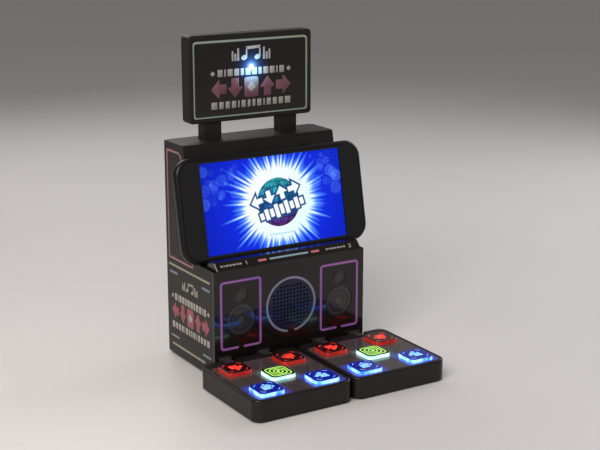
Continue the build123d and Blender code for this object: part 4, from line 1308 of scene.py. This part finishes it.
@dataclass
class Sign:
    """Prints on the sign's panel."""

    half_width: float = 42.2
    low: float = 159.1
    high: float = 207.8
    corner: float = 2.4
    line: float = 1.9
    line_height: float = 0.12

    def build(self) -> None:
        """Neon border and badge."""
        sheet = face_of("sign_panel", Side.FRONT)
        middle = (self.low + self.high) / 2
        loop = rounded_box((0, middle), 2 * self.half_width, self.high - self.low, self.corner)
        border = ribbon(sheet, loop, self.line, self.line_height, closed=True)
        make("sign_neon_border", border, NEON_SIGN)
        SIGN_BADGE.build("sign", sheet, 0.0, INK_LAMPLIT, INK_MAUVE)


def blend(amount: Array, first: Array, second: Array, third: Array) -> Array:
    """Colour that runs evenly from first to second and on to third as amount runs from 0 to 1."""
    early = first + (second - first) * amount * 2
    return np.where(amount < 0.5, early, second + (third - second) * (amount * 2 - 1))


@dataclass
class Screen:
    """The phone: its case, glass and lit picture.

    The picture is worked out at the points of a grid, as light: a starburst, drifting bubbles, a mirror ball
    and arrows.
    """

    width: float = 104.05
    height: float = 58.5
    lean: float = 11.3
    columns: int = 380
    rows: int = 214
    thickness: float = 1.1
    seat_gap: float = 0.05
    burst_x: float = 2.8
    burst_y: float = -1.0
    ball_radius: float = 15.8
    title_slope: float = 13.0
    arrow_pitch: float = 9.6
    bar_pitch: float = 3.9

    def build(self) -> None:
        """Dress the phone's nodes and put the picture in place of the display."""
        low, high = in_mm(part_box("phone_display"))
        c, s = cos(radians(self.lean)), sin(radians(self.lean))
        foot = Vector((0.0, low[1], high[2] - self.height * c))
        middle = (foot.y + self.height / 2 * s, foot.z + self.height / 2 * c)
        glass = PhoneFront("phone_front", (0.004, 0.004, 0.005), (self.width, self.height), middle, self.lean)
        dress_nodes({ANODISED: ("phone_shell", "phone_side_key"), glass: ("phone_glass",)})
        self.picture(Sheet(tuple(foot), (1, 0, 0), (0, s, c)))

    def picture(self, sheet: Sheet) -> None:
        """Thin slab whose face is a fine grid that carries the picture.

        Args:
            sheet: The display's face; its origin is the middle of the lower edge.
        """
        x = np.linspace(-self.width / 2, self.width / 2, self.columns)
        y = np.linspace(0, self.height, self.rows)
        flat = np.stack(np.meshgrid(x, y), axis=-1)
        face = sheet.place(flat, -self.seat_gap).reshape(-1, 3)
        corners = np.array([[x[0], 0], [x[-1], 0], [x[-1], y[-1]], [x[0], y[-1]]])
        back = sheet.place(corners, -self.thickness)
        index = np.arange(self.rows * self.columns).reshape(self.rows, self.columns)
        edges = [index[0], index[:, -1], index[-1, ::-1], index[::-1, 0]]
        count = index.size
        sides = [[*edge[::-1].tolist(), count + side, count + (side + 1) % 4]
                 for side, edge in enumerate(edges)]
        faces = grid_faces(self.rows, self.columns, False, False)[:, ::-1].tolist()
        faces += [*sides, [count + 3, count + 2, count + 1, count]]
        shape = Shape(np.concatenate([face, back]), faces, np.zeros((count + 4, 2)))
        piece = make("screen_picture", shape, PICTURE, PHONE, smooth=False)
        light = self.light(flat[..., 0], flat[..., 1] - self.height / 2)
        colours = np.zeros((count + 4, 4), np.float32)
        colours[:count, :3] = light.reshape(-1, 3)
        colours[:, 3] = 1
        layer = piece.data.color_attributes.new("picture", "FLOAT_COLOR", "POINT")
        layer.data.foreach_set("color", colours.ravel())
        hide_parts("phone_display")

    def light(self, x: Array, y: Array) -> Array:
        """Colour of the picture: a blue ground, the burst, the ball and the title, each over the one before.

        Args:
            x: Millimetres to the right of the middle.
            y: Millimetres above the middle.

        Returns:
            Linear colours, one for each point.
        """
        random = np.random.default_rng(7)
        y = y - self.burst_y
        far = np.hypot(x - self.burst_x, y * 1.05)
        ground = self.ground(random, x, y, far)
        colour = self.burst(random, ground, x, y, far)
        colour = self.ball(colour, x, y)
        return self.title(colour, x, y)

    def ground(self, random: np.random.Generator, x: Array, y: Array, far: Array) -> Array:
        """Blue that darkens away from the burst, with soft bubbles on both sides and a weave in one corner.

        Args:
            random: Source of the bubbles' places, radii and strengths.
            x: Millimetres to the right of the middle.
            y: Millimetres above the burst.
            far: Distance from the burst.

        Returns:
            The colours.
        """
        blue = np.array([0.004, 0.022, 0.72]) * (0.5 + 0.8 * np.exp(-(far / 46) ** 2))[..., None]
        for low, high, count in ((-51, -24, 26), (30, 50, 16)):
            spots = zip(random.uniform(low, high, count), random.uniform(4, 28, count),
                        random.uniform(0.6, 3.4, count), random.uniform(0.03, 0.16, count))
            for spot_x, spot_y, radius, gain in spots:
                away = np.hypot(x - spot_x, y - spot_y) / radius
                bubble = gain * (np.clip(1 - away, 0, 1) ** 0.5 + np.exp(-((away - 1) / 0.18) ** 2))
                blue += bubble[..., None] * np.array([0.2, 0.45, 1.0])
        weave = (np.cos(x * 3.1) > 0.2) & (np.cos(y * 3.1) > 0.2)
        corner = np.clip((x - 20) / 22, 0, 1) * np.clip((y + 6) / 14, 0, 1)
        return blue + (corner * weave * 0.1)[..., None] * np.array([0.1, 0.3, 1.0])

    def burst(self, random: np.random.Generator, ground: Array, x: Array, y: Array, far: Array) -> Array:
        """Starburst: its reach is a sum of cosines of the angle round its middle, and it fades towards it.

        Args:
            random: Source of the rays' counts, strengths and phases.
            ground: The picture behind it.
            x: Millimetres to the right of the middle.
            y: Millimetres above the burst.
            far: Distance from the burst.

        Returns:
            The picture with the burst over it.
        """
        angle = np.arctan2(y, x - self.burst_x)
        draws = zip(random.integers(11, 90, 18), random.uniform(0.3, 1, 18), random.uniform(0, 2 * pi, 18))
        rays = sum(gain * np.cos(count * angle + phase) for count, gain, phase in draws)
        rays = (rays - rays.min()) / (rays.max() - rays.min())
        reach = 25.0 + 22.0 * rays ** 1.5
        fade = np.clip((reach - far) / 15.0, 0, 1) ** 1.25
        amount = np.clip(fade + 0.8 * np.exp(-(far / 26) ** 6), 0, 1)[..., None]
        tint = 0.45 * np.clip(0.3 + (x - self.burst_x) / 55 - y / 90, 0, 1)[..., None]
        white = np.array([0.88, 0.95, 1.0]) * (1 - tint) + np.array([0.5, 0.9, 1.0]) * tint
        return blend(amount, ground, np.array([0.09, 0.3, 1.0]), white)

    def ball(self, colour: Array, x: Array, y: Array) -> Array:
        """Mirror ball: tiles in even steps of latitude and longitude on a sphere, teal above navy above plum.

        Args:
            colour: The picture so far.
            x: Millimetres to the right of the middle.
            y: Millimetres above the burst.

        Returns:
            The picture with the ball in it.
        """
        u, v = (x - self.burst_x) / self.ball_radius, y / self.ball_radius
        inside = u ** 2 + v ** 2 < 1
        depth = np.sqrt(np.clip(1 - u ** 2 - v ** 2, 0, 1))
        latitude = np.arcsin(np.clip(v, -1, 1)) * 9 / pi
        longitude = np.arctan2(u, depth + 1e-6) * 12 / pi
        seam = (np.abs(latitude % 1 - 0.5) > 0.42) | (np.abs(longitude % 1 - 0.5) > 0.42)
        tile = np.sin(np.floor(latitude) * 12.9898 + np.floor(longitude) * 78.233) * 43758.5453
        sparkle = tile - np.floor(tile)
        plum, navy, teal = np.array([[0.13, 0.02, 0.22], [0.01, 0.1, 0.34], [0.04, 0.5, 0.58]])
        shade = blend(np.clip((v + 1) / 2, 0, 1)[..., None], plum, navy, teal)
        shade = shade * (0.45 + 1.1 * sparkle)[..., None] * (0.45 + 0.6 * depth)[..., None]
        shade = np.where(seam[..., None], shade * 0.35, shade)
        return np.where(inside[..., None], shade, colour)

    def title(self, colour: Array, x: Array, y: Array) -> Array:
        """Slanting arrows over a slanting row of level bars, white inside a dark blue rim.

        Edge is the distance outside the nearest arrow or bar, which are made of straight-sided pieces.

        Args:
            colour: The picture so far.
            x: Millimetres to the right of the middle.
            y: Millimetres above the burst.

        Returns:
            The picture with the arrows and bars in it.
        """
        c, s = cos(radians(self.title_slope)), sin(radians(self.title_slope))
        a, b = (x - self.burst_x) * c + y * s, -(x - self.burst_x) * s + y * c
        edge = np.full(x.shape, 99.0)
        for index, turn in enumerate((90, 180, 0, -90)):
            p, q = a - (index - 1.5) * self.arrow_pitch + 0.8, b - 5.2
            ct, st = cos(radians(turn)), sin(radians(turn))
            p, q = p * ct + q * st, -p * st + q * ct
            head = np.maximum(np.abs(p) * 0.72 + (q - 4.4) * 0.69, -q - 0.3)
            stem = np.maximum(np.abs(p) - 1.7, np.abs(q + 2.2) - 2.2)
            edge = np.minimum(edge, np.minimum(head, stem))
        for index, tall in enumerate((4.4, 7.2, 5.4, 9.0, 6.4, 8.6, 5.0, 7.4, 4.6)):
            p, q = a - (index - 4) * self.bar_pitch - 1.0, b + 5.0
            edge = np.minimum(edge, np.maximum(np.abs(p) - 1.45, np.abs(q) - tall / 2))
        rim = np.clip((1.3 - edge) / 0.3, 0, 1)[..., None]
        fill = np.clip((0.1 - edge) / 0.3, 0, 1)[..., None]
        navy, white = np.array([0.005, 0.07, 0.2]), np.array([0.93, 0.97, 1.0])
        colour = colour + (navy - colour) * rim
        colour = colour + (white - colour) * fill
        hint = (np.abs(y + 20.5) < 0.4) & (np.abs(x - self.burst_x) < 9.5) & (np.abs(x % 2.2 - 1.1) < 0.75)
        return np.where(hint[..., None], np.array([0.3, 0.62, 0.72]), colour)


@dataclass
class Pad:
    """One pad: its finishes and the lit prints on its five buttons.

    Attributes:
        side: left or right.
    """

    side: Side
    tick_span: float = 7.8
    tick_radius: float = 2.4
    stroke: float = 0.75
    height: float = 0.15
    bevel: float = 0.05

    def build(self) -> None:
        """Dress the pad and print its buttons."""
        pad = self.side.value + "_pad_"
        finishes = {PAD_CASE: ("shell", "base"), SMOKED: ("panel",), BOARD: ("board",),
                    CLEAR_RUBBER: ("membrane",), SOFT_RUBBER: ("feet",), STEEL: ("screws", "hinge_pins")}
        dress_nodes({finish: [pad + name for name in names] for finish, names in finishes.items()})
        turns = {"rear_left": 45, "rear_right": -45, "front_left": 135, "front_right": -135}
        for place, turn in turns.items():
            cap, icon = (RED_CAP, RED_ICON) if place.startswith("rear") else (BLUE_CAP, BLUE_ICON)
            dress_nodes({cap: (pad + place + "_button",)})
            self.arrow_print(pad + place, turn, icon)
        dress_nodes({GREEN_CAP: (pad + "centre_button",)})
        self.target_print(pad + "centre")

    def top(self, name: str) -> tuple[Sheet, Array]:
        """Sheet on a button's top, and the button's middle on it."""
        low, high = in_mm(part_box(name + "_button"))
        return face_of(name + "_button", Side.TOP), (low[:2] + high[:2]) / 2

    def arrow_print(self, name: str, turn: float, icon: Finish) -> None:
        """Slanting arrow with two short dashes beside its stem, and a small tick in each corner.

        Args:
            name: The button's name without its last word.
            turn: Direction of the arrow in degrees from straight away.
            icon: Finish of the print.
        """
        sheet, middle = self.top(name)
        outline = arrow((0, 0.6), 8.4, 8.8, 0)
        dashes = [rounded_box((a, -2.6), 1.3, 2.4, 0.35, 3) for a in (-3.1, 3.1)]
        shapes = [turned(shape, turn, middle) for shape in (outline, *dashes)]
        corners = np.array([(1, 1), (-1, 1), (-1, -1), (1, -1)]) * self.tick_span / 2
        bends = [arc(middle + corner, self.tick_radius, 90 * index, 90 * (index + 1), 7)
                 for index, corner in enumerate(corners)]
        ticks = [ribbon(sheet, bend, self.stroke * 0.5, self.height * 0.6) for bend in bends]
        whole = Shape.joined([*ticks, relief(sheet, shapes, self.height, self.bevel)])
        make(name + "_print", whole, icon, name + "_button")

    def target_print(self, name: str) -> None:
        """Two rounded squares, a ring and a dot, one inside the other.

        Args:
            name: The button's name without its last word.
        """
        sheet, middle = self.top(name)
        loops = [rounded_box(middle, size, size, corner) for size, corner in ((13.2, 2.6), (9.6, 3.0))]
        loops.append(arc(middle, 2.9, 0, 352, 44))
        rings = [ribbon(sheet, loop, self.stroke, self.height, closed=True) for loop in loops]
        dot = relief(sheet, [arc(middle, 1.1, 0, 345, 24)], self.height, self.bevel)
        make(name + "_print", Shape.joined([*rings, dot]), GREEN_ICON, name + "_button")


def dress_nodes(finishes: dict[Finish, Sequence[str]]) -> None:
    """Give CAD nodes their finishes.

    Args:
        finishes: The nodes that have each finish.
    """
    for finish, names in finishes.items():
        for name in names:
            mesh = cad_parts[name].data
            mesh.materials.clear()
            mesh.materials.append(finish.material())
            LOG.info("node %s is dressed in %s", name, finish.name)


# ---- studio ----------------------------------------------------------------------------------------------
@dataclass
class Studio:
    """Pale floor, soft lights and the camera.

    Attributes:
        eye: The camera's place, in millimetres.
        aim: The point it looks at.
        lens: Its focal length.
        sensor: Width of its sensor.
        floor_half: Half the width of the floor, in metres.
    """

    eye: Point = (-422.4, -692.9, 305.8)
    aim: Point = (6.8, 4.75, 93.75)
    lens: float = 79.31
    sensor: float = 36.0
    floor_half: float = 6.0

    def build(self) -> None:
        """Floor, world, lights and camera."""
        self.floor()
        self.world()
        self.lamp("key_light", (-520, -420, 620), (0, 0, 80), 520, 6.0, (1.0, 0.95, 0.9))
        self.lamp("fill_light", (760, 60, 460), (0, 0, 70), 600, 2.6, (0.95, 0.96, 1.0))
        self.lamp("back_light", (60, 760, 620), (0, 0, 60), 500, 2.4, (1.0, 0.97, 0.95))
        self.camera()

    def floor(self) -> None:
        """Wide pale floor."""
        mesh = bpy.data.meshes.new("floor")
        corners = self.floor_half * np.array([(-1, -1, 0), (1, -1, 0), (1, 1, 0), (-1, 1, 0)])
        mesh.from_pydata(corners.tolist(), [], [(0, 1, 2, 3)])
        floor = bpy.data.objects.new("floor", mesh)
        bpy.context.scene.collection.objects.link(floor)
        tree = Tree("pale_floor")
        speck = tree.noise(tree.coordinates(), 6.0, 4.0)
        tree.base(Base_Color=tree.mix(speck, (0.68, 0.66, 0.65, 1), (0.72, 0.70, 0.69, 1)), Roughness=0.45)
        mesh.materials.append(tree.material)

    def world(self) -> None:
        """Even, dim surroundings."""
        world = bpy.data.worlds.new("soft_room")
        world.use_nodes = True
        background = world.node_tree.nodes["Background"]
        background.inputs["Color"].default_value = (0.62, 0.6, 0.6, 1)
        background.inputs["Strength"].default_value = 0.34
        bpy.context.scene.world = world
        bpy.context.scene.view_settings.view_transform = "Standard"

    def lamp(self, name: str, place: Point, aim: Point, size: float, watts: float, colour: Colour) -> None:
        """Square soft light.

        Args:
            name: Its name.
            place: Where it hangs, in millimetres.
            aim: The point it faces.
            size: Its side.
            watts: Its power.
            colour: Its colour.
        """
        light = bpy.data.lights.new(name, "AREA")
        light.energy = watts
        light.size = size * MM
        light.color = colour
        lamp = bpy.data.objects.new(name, light)
        bpy.context.scene.collection.objects.link(lamp)
        self.point(lamp, place, aim)

    def camera(self) -> None:
        """Camera at the player's left, a little above the sign."""
        lens = bpy.data.cameras.new("camera")
        lens.sensor_width = self.sensor
        lens.lens = self.lens
        lens.clip_start = 0.01
        camera = bpy.data.objects.new("camera", lens)
        bpy.context.scene.collection.objects.link(camera)
        self.point(camera, self.eye, self.aim)
        bpy.context.scene.camera = camera

    def point(self, thing: bpy.types.Object, place: Point, aim: Point) -> None:
        """Put a light or camera in place, facing a point."""
        here, there = Vector(place) * MM, Vector(aim) * MM
        thing.location = here
        thing.rotation_euler = (there - here).to_track_quat("-Z", "Y").to_euler()


def main() -> None:
    """Build the machine's pieces in order, then the studio."""
    logging.basicConfig(level=logging.INFO, format="%(message)s")
    Cabinet().build()
    Sign().build()
    Screen().build()
    for side in (Side.LEFT, Side.RIGHT):
        Pad(side).build()
    Studio().build()


if __name__ == "__main__":
    main()
